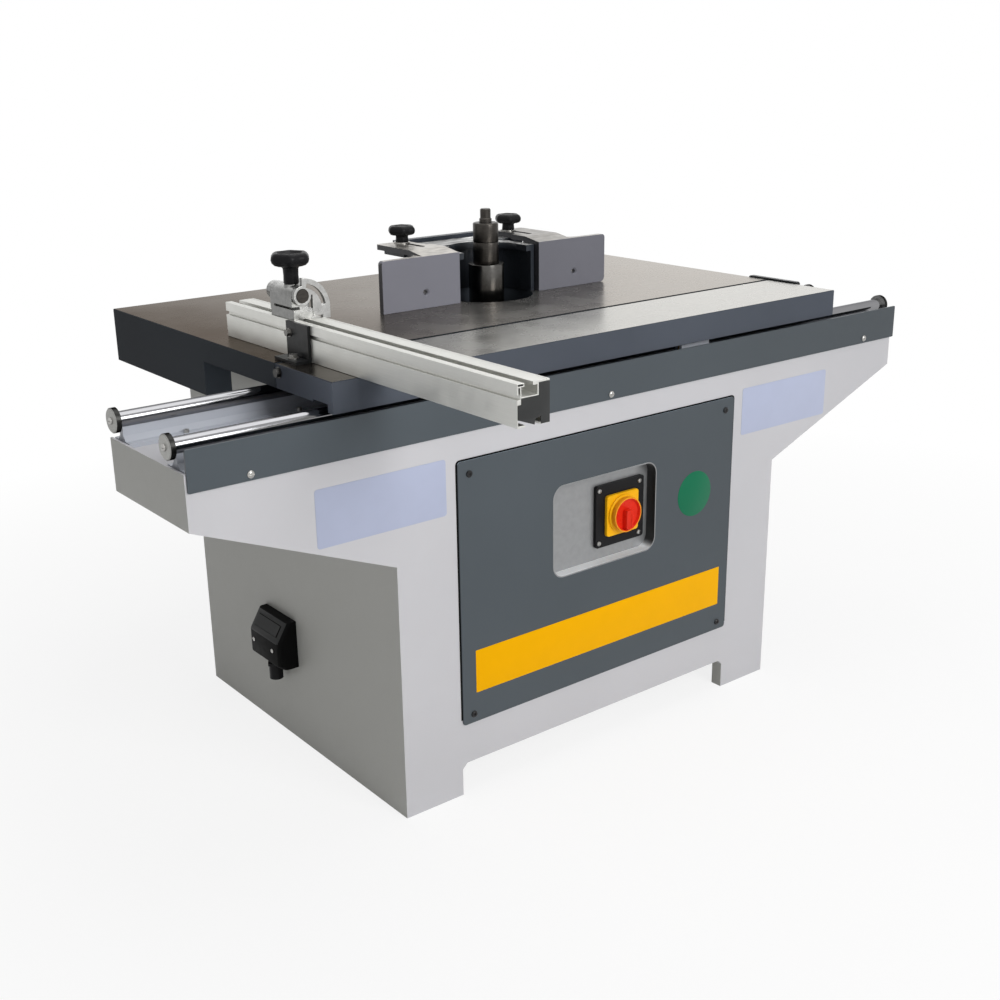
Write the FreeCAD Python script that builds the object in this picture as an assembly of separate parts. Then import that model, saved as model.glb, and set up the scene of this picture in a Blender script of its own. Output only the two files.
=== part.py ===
import FreeCAD, Part
import math
import os

# Spindle moulder with a sliding table, in millimetres.
# X runs along the rails, Y from the operator to the back, Z up from the floor.
# Depths are measured from the cabinet's front face and shifted to the middle of the machine on saving.

# Driving dimensions
RAIL_LENGTH = 1600.0
RAIL_RADIUS = 12.5
FRONT_RAIL_Y = 41.0
REAR_RAIL_Y = 227.0
RAIL_Z = 717.5
BED_TOP = 677.5

TABLE_TOP = 776.0
TABLE_THICK = 40.0
TABLE_LEFT = -555.5
TABLE_RIGHT = 607.6
SLIDING_RIGHT = 605.0
TABLE_BACK = 805.0
SLIDING_FRONT = 4.0
SLIDING_BACK = 173.5
FIXED_FRONT = 175.5
SKIRT_BOTTOM = 676.0
SKIRT_FRONT = 428.0
SKIRT_WIDTH = 50.0

SHEET = 4.0
CABINET_LEFT = -457.0
CABINET_RIGHT = 440.0
CABINET_DEPTH = 707.0
WING_LEFT = -803.0
WING_RIGHT = 793.5
WING_DEPTH = 253.0
WING_TIP_Z = 599.0
WING_ROOT_Z = 459.0
WING_TOP = 685.0
CHANNEL_BACK = 262.0
TOE_LEFT = -337.0
TOE_RIGHT = 318.0
TOE_HEIGHT = 60.0

SPINDLE_X = 72.0
SPINDLE_Y = 440.0
SPINDLE_HOLE_RADIUS = 92.0
FENCE_FACE_Y = 395.0
FENCE_TOP = 873.5
FENCE_INNER = 98.5
FENCE_OUTER = 275.5

BAR_LEFT = -510.7
BAR_WIDTH = 54.0
BAR_BOTTOM = 776.4
BAR_TOP = 835.0
BAR_FRONT = -374.0
BAR_BACK = 417.0

# Gaps: running fits turn on a shaft, sliding gaps part two faces that pass each other
RUNNING = 0.05
SLIDING = 0.3

# Values that follow from the ones above
TABLE_UNDER = TABLE_TOP - TABLE_THICK
BED_UNDER = BED_TOP - SHEET
RAIL_END = RAIL_LENGTH / 2
BAR_RIGHT = BAR_LEFT + BAR_WIDTH
MIDDLE_Y = (BAR_FRONT + TABLE_BACK) / 2

X = FreeCAD.Vector(1, 0, 0)
Y = FreeCAD.Vector(0, 1, 0)
Z = FreeCAD.Vector(0, 0, 1)


def point(x, y, z):
    return FreeCAD.Vector(x, y, z)


def box(x0, x1, y0, y1, z0, z1):
    return Part.makeBox(x1 - x0, y1 - y0, z1 - z0, point(x0, y0, z0))


def rod(radius, start, axis, length):
    return Part.makeCylinder(radius, length, start, axis)


def tube(outer, inner, start, axis, length):
    return rod(outer, start, axis, length).cut(rod(inner, start, axis, length))


def prism(corners, way):
    return Part.Face(Part.makePolygon(corners + corners[:1])).extrude(way)


def prism_along_x(corners, x0, x1):
    return prism([point(x0, y, z) for y, z in corners], X * (x1 - x0))


def prism_along_y(corners, y0, y1):
    return prism([point(x, y0, z) for x, z in corners], Y * (y1 - y0))


def edges_along(shape, axis):
    found = []
    for edge in shape.Edges:
        ends = edge.Vertexes
        if len(ends) == 2 and edge.Curve.TypeId == "Part::GeomLine":
            way = (ends[1].Point - ends[0].Point).normalize()
            if abs(abs(way.dot(axis)) - 1) < 1e-6:
                found.append(edge)
    return found


def rounded(shape, axis, radius):
    return shape.makeFillet(radius, edges_along(shape, axis))


def rounded_plate(x0, x1, y0, y1, z0, z1, radius):
    return rounded(box(x0, x1, y0, y1, z0, z1), Y, radius)


def fuse(shapes):
    return shapes[0].fuse(shapes[1:]).removeSplitter()


def turned(profile, start, axis):
    """Solid of revolution from (radius, height) corners, about an axis through start."""
    side = Y if abs(axis.dot(X)) > 0.5 else X
    corners = [start + side * radius + axis * height for radius, height in profile]
    face = Part.Face(Part.makePolygon(corners + corners[:1]))
    return face.revolve(start, axis, 360)


def pan_screw(head, out, radius=5.0, height=3.2):
    """Domed screw head standing on a face, with a cross recess."""
    profile = [(0, 0), (radius, 0), (radius, 0.45 * height), (0.75 * radius, 0.85 * height), (0, height)]
    solid = turned(profile, head, out)
    across = out.cross(Z) if abs(out.dot(Z)) < 0.5 else X
    other = out.cross(across)
    for long_way, short_way in ((across, other), (other, across)):
        corner = head + out * (0.55 * height) - long_way * (0.5 * radius) - short_way * 0.5
        far = corner + long_way * radius
        base = [corner, far, far + short_way, corner + short_way]
        solid = solid.cut(prism(base, out * height))
    return solid


def hexagon(centre, axis, across_flats, height):
    side = X if abs(axis.dot(X)) < 0.5 else Y
    other = axis.cross(side)
    reach = across_flats / math.sqrt(3)
    corners = []
    for k in range(6):
        angle = math.radians(60 * k)
        corners.append(centre + side * (reach * math.cos(angle)) + other * (reach * math.sin(angle)))
    return prism(corners, axis * height)


def hex_bolt(seat, out, across_flats=13.0, washer=9.0, shank=0.0):
    """Hex head on a washer, with an optional shank below the seat."""
    parts = [rod(washer, seat, out, 1.6), hexagon(seat + out * 1.6, out, across_flats, 5.3)]
    if shank:
        parts.append(rod(across_flats * 0.3, seat - out * shank, out, shank))
    return fuse(parts)


def soft_disc(radius, foot, height, soft):
    """Disc with both rims broken."""
    profile = [(0, 0), (radius - soft, 0), (radius, soft), (radius, height - soft), (radius - soft, height),
               (0, height)]
    return turned(profile, foot, Z)


def lobed_knob(foot, radius, neck, neck_height, head_height, lobes=6):
    """Star knob: a round neck under a head whose rim swells into lobes."""
    head_foot = foot + Z * neck_height
    soft = head_height * 0.15
    lobe = radius * 0.3
    parts = [rod(neck, foot, Z, neck_height + 1), soft_disc(radius * 0.8, head_foot, head_height, soft)]
    for k in range(lobes):
        angle = 2 * math.pi * k / lobes
        out = point(math.cos(angle), math.sin(angle), 0) * (radius - lobe)
        parts.append(soft_disc(lobe, head_foot + out, head_height, soft))
    dish = rod(radius * 0.5, head_foot + Z * (head_height - 2), Z, 3)
    return fuse(parts).cut(dish)


# Cabinet sheets

def toe_corners(grow):
    """Outline of the toe opening, grown outwards for its folded lip."""
    cut = 10.0
    left = TOE_LEFT - grow
    right = TOE_RIGHT + grow
    top = TOE_HEIGHT + grow
    return [(left, -1), (left, top - cut), (left + cut, top),
            (right - cut, top), (right, top - cut), (right, -1)]


WINDOW = (-133.0, 117.0, 352.0, 524.0)
WINDOW_CORNER = 25.0
RECESS_DEPTH = 20.0
TOE_LIP = 20.0


def window_block(y0, y1, shrink):
    left, right, bottom, top = WINDOW
    return rounded_plate(left + shrink, right - shrink, y0, y1, bottom + shrink, top - shrink,
                         WINDOW_CORNER - shrink)


def front_sheet():
    outline = [(CABINET_LEFT, 0), (CABINET_RIGHT, 0), (CABINET_RIGHT, WING_ROOT_Z),
               (WING_RIGHT, WING_TIP_Z), (WING_RIGHT, WING_TOP), (WING_LEFT, WING_TOP),
               (WING_LEFT, WING_TIP_Z), (CABINET_LEFT, WING_ROOT_Z)]
    sheet = prism_along_y(outline, 0, SHEET)
    lip = prism_along_y(toe_corners(SHEET), 0, SHEET + TOE_LIP).common(
        box(WING_LEFT, WING_RIGHT, 0, SHEET + TOE_LIP, 0, WING_TOP))
    sheet = fuse([sheet, lip])
    sheet = sheet.cut(prism_along_y(toe_corners(0), -1, SHEET + TOE_LIP + 1))
    return sheet.cut(window_block(-1, SHEET + 1, 0))


def side_outline():
    back = CABINET_DEPTH - SHEET
    return [(SHEET, 0), (back, 0), (back, TABLE_UNDER), (CHANNEL_BACK, TABLE_UNDER),
            (CHANNEL_BACK, BED_UNDER), (SHEET, BED_UNDER)]


CABLE_HOLE = (400.0, 200.0, 12.0)
FLOOR_FLANGE = 40.0
LIFT_Y = 545.0
WHEEL_SHAFT_Z = 240.0
WHEEL_SHAFT_RADIUS = 10.0
BUSH_RADIUS = 15.0


def left_sheet():
    y, z, radius = CABLE_HOLE
    wall = prism_along_x(side_outline(), CABINET_LEFT, CABINET_LEFT + SHEET)
    flange = floor_flange(CABINET_LEFT, CABINET_LEFT + FLOOR_FLANGE)
    return fuse([wall, flange]).cut(rod(radius, point(CABINET_LEFT - 1, y, z), X, SHEET + 2))


def right_sheet():
    wall = prism_along_x(side_outline(), CABINET_RIGHT - SHEET, CABINET_RIGHT)
    flange = floor_flange(CABINET_RIGHT - FLOOR_FLANGE, CABINET_RIGHT)
    hole = rod(BUSH_RADIUS, point(CABINET_RIGHT - SHEET - 1, LIFT_Y, WHEEL_SHAFT_Z), X, SHEET + 2)
    return fuse([wall, flange]).cut(hole)


def floor_flange(x0, x1):
    return box(x0, x1, SHEET, CABINET_DEPTH - SHEET, 0, SHEET)


def back_sheet():
    return box(CABINET_LEFT, CABINET_RIGHT, CABINET_DEPTH - SHEET, CABINET_DEPTH, 0, TABLE_UNDER)


def wing(tip, root):
    """Sheet shell under one end of the rails: sloped bottom, end and back."""
    side = 1 if root > tip else -1
    run = abs(root - tip)
    rise = WING_TIP_Z - WING_ROOT_Z
    lift = SHEET * math.hypot(run, rise) / run
    outer = [(tip, WING_TIP_Z), (tip, WING_TOP), (root, WING_TOP), (root, WING_ROOT_Z)]
    inner_tip = tip + side * SHEET
    slope = rise / run
    above = WING_TOP + 1
    inner = [(inner_tip, WING_TIP_Z + lift - slope * SHEET), (inner_tip, above), (root + side, above),
             (root + side, WING_ROOT_Z + lift - slope)]
    shell = prism_along_y(outer, SHEET, WING_DEPTH)
    shell = shell.cut(prism_along_y(inner, SHEET - 1, WING_DEPTH - SHEET))
    low, high = sorted((inner_tip, root))
    return shell.cut(box(low, high, SHEET, WING_DEPTH, BED_UNDER, WING_TOP))


def rail_bed():
    flat = box(WING_LEFT + SHEET, WING_RIGHT - SHEET, SHEET, WING_DEPTH, BED_UNDER, BED_TOP)
    inside = (CABINET_LEFT + SHEET, CABINET_RIGHT - SHEET)
    shelf = box(*inside, WING_DEPTH, CHANNEL_BACK, BED_UNDER, BED_TOP)
    upstand = box(*inside, CHANNEL_BACK - SHEET, CHANNEL_BACK, BED_TOP, TABLE_UNDER)
    return fuse([flat, shelf, upstand])


# Rails

GUARD_THICK = 3.0
GUARD_BOTTOM = 657.0
GUARD_TOP = 721.0
GUARD_CORNER = 2.5
CAP_RADIUS = 19.5
CAP_THICK = 9.5
SUPPORT_HALF = 27.5
SUPPORT_FLANGE = 6.5
SUPPORT_FOOT = 13.0
SUPPORT_WEB = 6.0
SUPPORT_WEB_FOOT = 15.0
SUPPORT_HEIGHT = 38.0
SUPPORT_SCREW_PITCH = 200.0
SUPPORT_SCREW_Y = 22.4
GUARD_SCREW_X = (-702.0, 0.0, 702.0)
GUARD_SCREW_Z = GUARD_BOTTOM + 9.5


def rail_guard():
    return rounded_plate(-RAIL_END, RAIL_END, -GUARD_THICK, 0, GUARD_BOTTOM, GUARD_TOP, GUARD_CORNER)


def rail_supports():
    half = [(SUPPORT_HALF, 0), (SUPPORT_HALF, SUPPORT_FLANGE), (SUPPORT_FOOT, SUPPORT_FLANGE),
            (SUPPORT_WEB, SUPPORT_WEB_FOOT), (SUPPORT_WEB, SUPPORT_HEIGHT)]
    outline = half + [(-y, z) for y, z in reversed(half)]
    supports = []
    for rail_y in (FRONT_RAIL_Y, REAR_RAIL_Y):
        corners = [(rail_y + y, BED_TOP + z) for y, z in outline]
        bar = prism_along_x(corners, WING_LEFT + 8, WING_RIGHT - 5)
        supports.append(bar.cut(rail_rod(rail_y, RAIL_RADIUS + 0.02)))
    return Part.makeCompound(supports)


def rail_rod(rail_y, radius):
    return rod(radius, point(-RAIL_END, rail_y, RAIL_Z), X, RAIL_LENGTH)


def rails():
    return Part.makeCompound([rail_rod(rail_y, RAIL_RADIUS) for rail_y in (FRONT_RAIL_Y, REAR_RAIL_Y)])


def support_screws():
    """Socket screws along both flanges of each support."""
    screws = []
    count = int(RAIL_LENGTH / SUPPORT_SCREW_PITCH)
    for k in range(count):
        x = -RAIL_END + SUPPORT_SCREW_PITCH * (k + 0.5)
        for rail_y in (FRONT_RAIL_Y, REAR_RAIL_Y):
            for side in (-1, 1):
                seat = point(x, rail_y + side * SUPPORT_SCREW_Y, BED_TOP + SUPPORT_FLANGE)
                head = rod(4.5, seat, Z, 5)
                screws.append(head.cut(hexagon(seat + Z * 2.5, Z, 4, 3)))
    return Part.makeCompound(screws)


def rail_caps():
    caps = []
    profile = [(0, 0), (CAP_RADIUS, 0), (CAP_RADIUS, CAP_THICK - 1.5), (CAP_RADIUS - 1.5, CAP_THICK),
               (0, CAP_THICK)]
    for rail_y in (FRONT_RAIL_Y, REAR_RAIL_Y):
        for side in (-1, 1):
            caps.append(turned(profile, point(side * RAIL_END, rail_y, RAIL_Z), X * side))
    return Part.makeCompound(caps)


# Front panel and switch

PANEL = (-335.0, 318.0, 135.0, 609.0)
PANEL_THICK = 2.5
PANEL_SCREW_INSET = 23.0
PANEL_SCREW_LOW = 16.1
PANEL_CORNER = 6.0
SWITCH_X = 42.5
SWITCH_Z = 436.0
SWITCH_PLATE = (-18.0, 99.5, 378.0, 496.0)
SWITCH_PLATE_THICK = 7.0
PLATE_SCREW_LEFT = 7.0
PLATE_SCREW_RIGHT = 11.5
PLATE_SCREW_INSET = 9.0
SURROUND_SIZE = 78.0
SURROUND_THICK = 6.0
DIAL_RADIUS = 36.0
DIAL_THICK = 4.0
HANDLE_RADIUS = 33.0
HANDLE_HEIGHT = 10.2
GRIP_HALF = 8.0
GRIP_RISE = 5.0
GRIP_TOP = 10.0
STEM_RADIUS = 5.0
RECESS_WALL = 2.0
SWITCH_BODY_HALF = 31.0
SWITCH_BODY_DEPTH = 70.0
PLATE_FRONT = RECESS_DEPTH - SWITCH_PLATE_THICK
SURROUND_FRONT = PLATE_FRONT - SURROUND_THICK
DIAL_FRONT = SURROUND_FRONT - DIAL_THICK


def stem_hole(y0, y1, radius):
    return rod(radius, point(SWITCH_X, y0, SWITCH_Z), Y, y1 - y0)


def front_panel():
    left, right, bottom, top = PANEL
    panel = rounded_plate(left, right, -PANEL_THICK, 0, bottom, top, PANEL_CORNER)
    return panel.cut(window_block(-PANEL_THICK - 1, 1, 0))


def panel_screws():
    left, right, bottom, top = PANEL
    screws = []
    for x in (left + PANEL_SCREW_INSET, right - PANEL_SCREW_INSET):
        for z in (bottom + PANEL_SCREW_LOW, top - PANEL_SCREW_INSET):
            screws.append(pan_screw(point(x, -PANEL_THICK, z), -Y, 6.0, 3.5))
    return Part.makeCompound(screws)


def recess_box():
    back = RECESS_DEPTH + RECESS_WALL
    tray = window_block(-PANEL_THICK, back, SLIDING)
    tray = tray.cut(window_block(-PANEL_THICK - 1, RECESS_DEPTH, SLIDING + RECESS_WALL))
    return tray.cut(stem_hole(RECESS_DEPTH - 1, back + 1, STEM_RADIUS + SLIDING))


def switch_plate():
    left, right, bottom, top = SWITCH_PLATE
    plate = rounded_plate(left, right, PLATE_FRONT, RECESS_DEPTH, bottom, top, 5)
    return plate.cut(stem_hole(PLATE_FRONT - 1, RECESS_DEPTH + 1, STEM_RADIUS + SLIDING))


def switch_surround():
    half = SURROUND_SIZE / 2
    square = rounded_plate(SWITCH_X - half, SWITCH_X + half, SURROUND_FRONT, PLATE_FRONT,
                           SWITCH_Z - half, SWITCH_Z + half, 6)
    dial = rod(DIAL_RADIUS, point(SWITCH_X, DIAL_FRONT, SWITCH_Z), Y, DIAL_THICK)
    return fuse([square, dial]).cut(stem_hole(DIAL_FRONT - 1, PLATE_FRONT + 1, STEM_RADIUS + SLIDING))


def switch_handle():
    """Round rotary handle: a dished front with a grip bar from the middle to the rim."""
    back = DIAL_FRONT - SLIDING
    front = back - HANDLE_HEIGHT
    handle = rod(HANDLE_RADIUS, point(SWITCH_X, front, SWITCH_Z), Y, HANDLE_HEIGHT)
    hollow = rod(HANDLE_RADIUS - 3, point(SWITCH_X, front - 1, SWITCH_Z), Y, HANDLE_HEIGHT - 4)
    reach = HANDLE_RADIUS - 4
    left, right = SWITCH_X - GRIP_HALF, SWITCH_X + GRIP_HALF
    bar = box(left, right, front - GRIP_RISE, back, SWITCH_Z - reach, SWITCH_Z + GRIP_TOP)
    stem = stem_hole(back - 1, RECESS_DEPTH + 30, STEM_RADIUS)
    return fuse([handle.cut(hollow), bar, stem])


def switch_body():
    half = SWITCH_BODY_HALF
    front = RECESS_DEPTH + RECESS_WALL
    body = rounded_plate(SWITCH_X - half, SWITCH_X + half, front, front + SWITCH_BODY_DEPTH,
                         SWITCH_Z - half, SWITCH_Z + half, 4)
    return body.cut(stem_hole(front - 1, front + 40, STEM_RADIUS + RUNNING))


# Inlet box on the left wall

INLET_FRONT = 345.0
INLET_BACK = 454.0
INLET_BOTTOM = 155.0
INLET_TOP = 248.0
INLET_REACH = 40.0
INLET_HEEL = 2.0
INLET_BROW = 18.0
INLET_RIDGE = 212.0
INLET_CHIN = 165.0
INLET_CHIN_CUT = 12.0
INLET_WALL = 3.0
INLET_SCREW_Y = (369.0, 438.0)
INLET_SCREW_Z = 192.0
GLAND_X = CABINET_LEFT - 20.0
GLAND_Y = 397.0
GLAND_RADIUS = 13.0
GLAND_BORE = 7.0
GLAND_LENGTH = 33.0


def inlet_outline(wall):
    """Section of the box: upright lower face, sloped upper face."""
    tip = CABINET_LEFT - INLET_REACH + wall
    return [(CABINET_LEFT + wall, INLET_BOTTOM + INLET_HEEL + wall), (CABINET_LEFT + wall, INLET_TOP - wall),
            (CABINET_LEFT - INLET_BROW + wall, INLET_TOP - wall), (tip, INLET_RIDGE - wall),
            (tip, INLET_CHIN + wall), (tip + INLET_CHIN_CUT, INLET_BOTTOM + wall),
            (CABINET_LEFT - INLET_HEEL + wall, INLET_BOTTOM + wall)]


def inlet_box():
    wall = INLET_WALL
    shell = prism_along_y(inlet_outline(0), INLET_FRONT, INLET_BACK)
    hollow = prism_along_y(inlet_outline(wall), INLET_FRONT + wall, INLET_BACK - wall)
    way_in = rod(GLAND_BORE + 0.5, point(GLAND_X, GLAND_Y, INLET_BOTTOM - 1), Z, wall + 3)
    return shell.cut(hollow).cut(way_in)


def cable_gland():
    top = INLET_BOTTOM
    body = rod(GLAND_RADIUS, point(GLAND_X, GLAND_Y, top - GLAND_LENGTH), Z, GLAND_LENGTH)
    collar = hexagon(point(GLAND_X, GLAND_Y, top - 6), Z, 2 * GLAND_RADIUS + 2, 6)
    bore = rod(GLAND_BORE, point(GLAND_X, GLAND_Y, top - GLAND_LENGTH - 1), Z, GLAND_LENGTH + 2)
    return fuse([body, collar]).cut(bore)


def pan_screws():
    """Zinc pan screws: rail guard, rail caps, switch plate and inlet box."""
    screws = [pan_screw(point(x, -GUARD_THICK, GUARD_SCREW_Z), -Y, 6.0, 3.5) for x in GUARD_SCREW_X]
    for rail_y in (FRONT_RAIL_Y, REAR_RAIL_Y):
        for side in (-1, 1):
            seat = point(side * (RAIL_END + CAP_THICK), rail_y, RAIL_Z)
            screws.append(pan_screw(seat, X * side, 5.5, 4.0))
    left, right, bottom, top = SWITCH_PLATE
    for x in (left + PLATE_SCREW_LEFT, right - PLATE_SCREW_RIGHT):
        for z in (bottom + PLATE_SCREW_INSET, top - PLATE_SCREW_INSET):
            screws.append(pan_screw(point(x, PLATE_FRONT, z), -Y, 4.5, 3.0))
    for y in INLET_SCREW_Y:
        screws.append(pan_screw(point(CABINET_LEFT - INLET_REACH, y, INLET_SCREW_Z), -X, 4.0, 2.5))
    return Part.makeCompound(screws)


# Tables

POCKET_DEPTH = 20.0
TABLE_EDGE = 1.2
END_STOP_THICK = 10.0
END_STOP_FRONT = 100.0
END_STOP_BACK = 228.0
END_STOP_BOTTOM = 745.0
END_STOP_TOP = 779.2
END_STOP_BOLT_Y = (190.0, 214.0)
END_STOP_BOLT_Z = 759.0


def pockets(x0, x1, rows, pitch, rib, keep_clear):
    """Hollows cast into a table's underside, left out near the spindle hole."""
    cuts = []
    count = int((x1 - x0) / pitch)
    step = (x1 - x0) / count
    for k in range(count):
        left = x0 + k * step + rib / 2
        right = left + step - rib
        for y0, y1 in rows:
            near_x = min(max(SPINDLE_X, left), right)
            near_y = min(max(SPINDLE_Y, y0), y1)
            if math.hypot(near_x - SPINDLE_X, near_y - SPINDLE_Y) > keep_clear:
                cuts.append(box(left, right, y0, y1, TABLE_UNDER - 1, TABLE_UNDER + POCKET_DEPTH))
    return cuts


def softened(shape, height, radius):
    """Break the long straight edges that lie at one height."""
    edges = [edge for edge in shape.Edges if edge.Curve.TypeId == "Part::GeomLine"
             and edge.BoundBox.ZLength < 1e-6 and abs(edge.BoundBox.ZMin - height) < 1e-6]
    return shape.makeChamfer(radius, edges)


def fixed_table():
    left = TABLE_LEFT
    right = TABLE_RIGHT
    top = box(left, right, FIXED_FRONT, TABLE_BACK, TABLE_UNDER, TABLE_TOP)
    left_skirt = box(left, left + SKIRT_WIDTH, SKIRT_FRONT, TABLE_BACK, SKIRT_BOTTOM, TABLE_UNDER)
    right_skirt = box(right - SKIRT_WIDTH, right, SKIRT_FRONT, TABLE_BACK, SKIRT_BOTTOM, TABLE_UNDER)
    back_skirt = box(left, right, TABLE_BACK - SKIRT_WIDTH, TABLE_BACK, SKIRT_BOTTOM, TABLE_UNDER)
    casting = fuse([top, left_skirt, right_skirt, back_skirt])
    casting = softened(casting, TABLE_TOP, TABLE_EDGE)
    hole = rod(SPINDLE_HOLE_RADIUS, point(SPINDLE_X, SPINDLE_Y, TABLE_UNDER - 1), Z, TABLE_THICK + 2)
    rows = [(CHANNEL_BACK + 10, 400), (420, 560), (580, CABINET_DEPTH - 15)]
    inside = (CABINET_LEFT + 15, CABINET_RIGHT - 15)
    hollows = pockets(*inside, rows, 150, 20, SPINDLE_HOLE_RADIUS + 30)
    return casting.cut([hole] + hollows)


def table_end_stop():
    """Plate on the fixed table's right end that stops the sliding table."""
    plate = box(TABLE_RIGHT, TABLE_RIGHT + END_STOP_THICK, END_STOP_FRONT, END_STOP_BACK,
                END_STOP_BOTTOM, END_STOP_TOP)
    return rounded(plate, X, 5)


HOOD_RADIUS = 97.5
HOOD_WALL = 8.5
HOOD_TOP = 868.0
HOOD_TOP_THICK = 12.0
HOOD_NOTCH_RADIUS = 77.5
HOOD_FRONT = 409.0
HOOD_BACK = 612.0
HOOD_FOOT_HALF = 60.0
HOOD_FOOT_THICK = 14.0
HOOD_BOLT_X = (-40.0, 40.0)
HOOD_BOLT_Y = 560.0
EAR_FRONT = 508.0
EAR_BACK = 577.0
EAR_OUTER = 149.0
EAR_TOP = 870.0
TIE_HALF = 110.0
TIE_FRONT = 590.0
TIE_BACK = 607.0
TIE_TOP = 876.5
STUD_X = 133.5
STUD_Y = 536.0
STUD_RADIUS = 4.95


def spindle_rod(radius, z0, z1):
    return rod(radius, point(SPINDLE_X, SPINDLE_Y, z0), Z, z1 - z0)


def open_front(half, z0, z1):
    """Round hole about the spindle, opened towards the operator."""
    way = box(SPINDLE_X - half, SPINDLE_X + half, HOOD_FRONT - 1, SPINDLE_Y, z0, z1)
    return spindle_rod(half, z0, z1).fuse(way)


def hood():
    """Cast hood round the spindle: curved wall, notched top with two ears, and a foot behind."""
    under = HOOD_TOP - HOOD_TOP_THICK
    wall = spindle_rod(HOOD_RADIUS, TABLE_TOP, under).cut(
        box(SPINDLE_X - HOOD_RADIUS, SPINDLE_X + HOOD_RADIUS, 0, SPINDLE_Y, TABLE_TOP, under))
    cheeks = box(SPINDLE_X - HOOD_RADIUS, SPINDLE_X + HOOD_RADIUS, HOOD_FRONT, SPINDLE_Y, TABLE_TOP, under)
    top = box(SPINDLE_X - HOOD_RADIUS, SPINDLE_X + HOOD_RADIUS, HOOD_FRONT, HOOD_BACK, under, HOOD_TOP)
    ears = box(SPINDLE_X - EAR_OUTER, SPINDLE_X + EAR_OUTER, EAR_FRONT, EAR_BACK, under, EAR_TOP)
    foot_front = SPINDLE_Y + HOOD_RADIUS - 10
    foot = box(SPINDLE_X - HOOD_FOOT_HALF, SPINDLE_X + HOOD_FOOT_HALF, foot_front, HOOD_BACK,
               TABLE_TOP, TABLE_TOP + HOOD_FOOT_THICK)
    body = fuse([wall, cheeks, top, ears, foot])
    inside = open_front(HOOD_RADIUS - HOOD_WALL, TABLE_TOP - 1, under)
    notch = open_front(HOOD_NOTCH_RADIUS, under - 1, EAR_TOP + 1)
    holes = [rod(STUD_RADIUS + RUNNING, point(SPINDLE_X + x, STUD_Y, under - 1), Z, EAR_TOP - under + 2)
             for x in (-STUD_X, STUD_X)]
    return body.cut([inside, notch] + holes)


def tie_bar():
    bar = box(SPINDLE_X - TIE_HALF, SPINDLE_X + TIE_HALF, TIE_FRONT, TIE_BACK, HOOD_TOP, TIE_TOP)
    return rounded(bar, Z, 4)


def hex_bolts():
    """Hex bolts of the end stop and the hood's foot flange."""
    face = TABLE_RIGHT + END_STOP_THICK
    bolts = [hex_bolt(point(face, y, END_STOP_BOLT_Z), X) for y in END_STOP_BOLT_Y]
    seat = TABLE_TOP + HOOD_FOOT_THICK
    bolts += [hex_bolt(point(SPINDLE_X + x, HOOD_BOLT_Y, seat), Z) for x in HOOD_BOLT_X]
    return Part.makeCompound(bolts)


# Fence castings, drawn for the right side and mirrored for the left

FENCE_PLATE = 12.0
FLANGE_THICK = 12.0
PLATE_CORNER = 7.0
LOWER_CORNER = 10.0
LUG_UNDER = 870.5
LUG_TOP = 880.5
LUG_INNER = 112.0
LUG_OUTER = 183.0
LUG_BACK = 556.0
FLANGE_BACK = 446.0
FLANGE_CURVE = 30.0
RAMP_FRONT = 398.0
RAMP_BACK = 440.0
SHOULDER_BACK = 485.0
WEB_THICK = 10.0
SLOT_FRONT = 462.0
SLOT_BACK = 545.5
SLOT_HALF = 5.5
FACE_HOLE_X = {-1: 178.0, 1: 192.0}
FACE_HOLE_Z = 806.0
FACE_HOLE_RADIUS = 4.5
WASHER_THICK = 2.0
WASHER_RADIUS = 16.0
KNOB_SEAT = LUG_TOP + WASHER_THICK
CLAMP_KNOB = {"radius": 28.0, "neck": 13.0, "neck_height": 13.2, "head_height": 18.5}
LUG_CORNER = 8.0


def round_outer_corner(plate, end_x):
    """Round the plate's upper outer corner, and on the right fence the lower one too."""
    corners = [(FENCE_TOP, PLATE_CORNER)]
    if end_x > SPINDLE_X:
        corners.append((TABLE_TOP + SLIDING, LOWER_CORNER))
    for z, radius in corners:
        corner = [edge for edge in edges_along(plate, Y)
                  if abs(edge.CenterOfMass.x - end_x) < 0.1 and abs(edge.CenterOfMass.z - z) < 0.1]
        plate = plate.makeFillet(radius, corner)
    return plate


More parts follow.
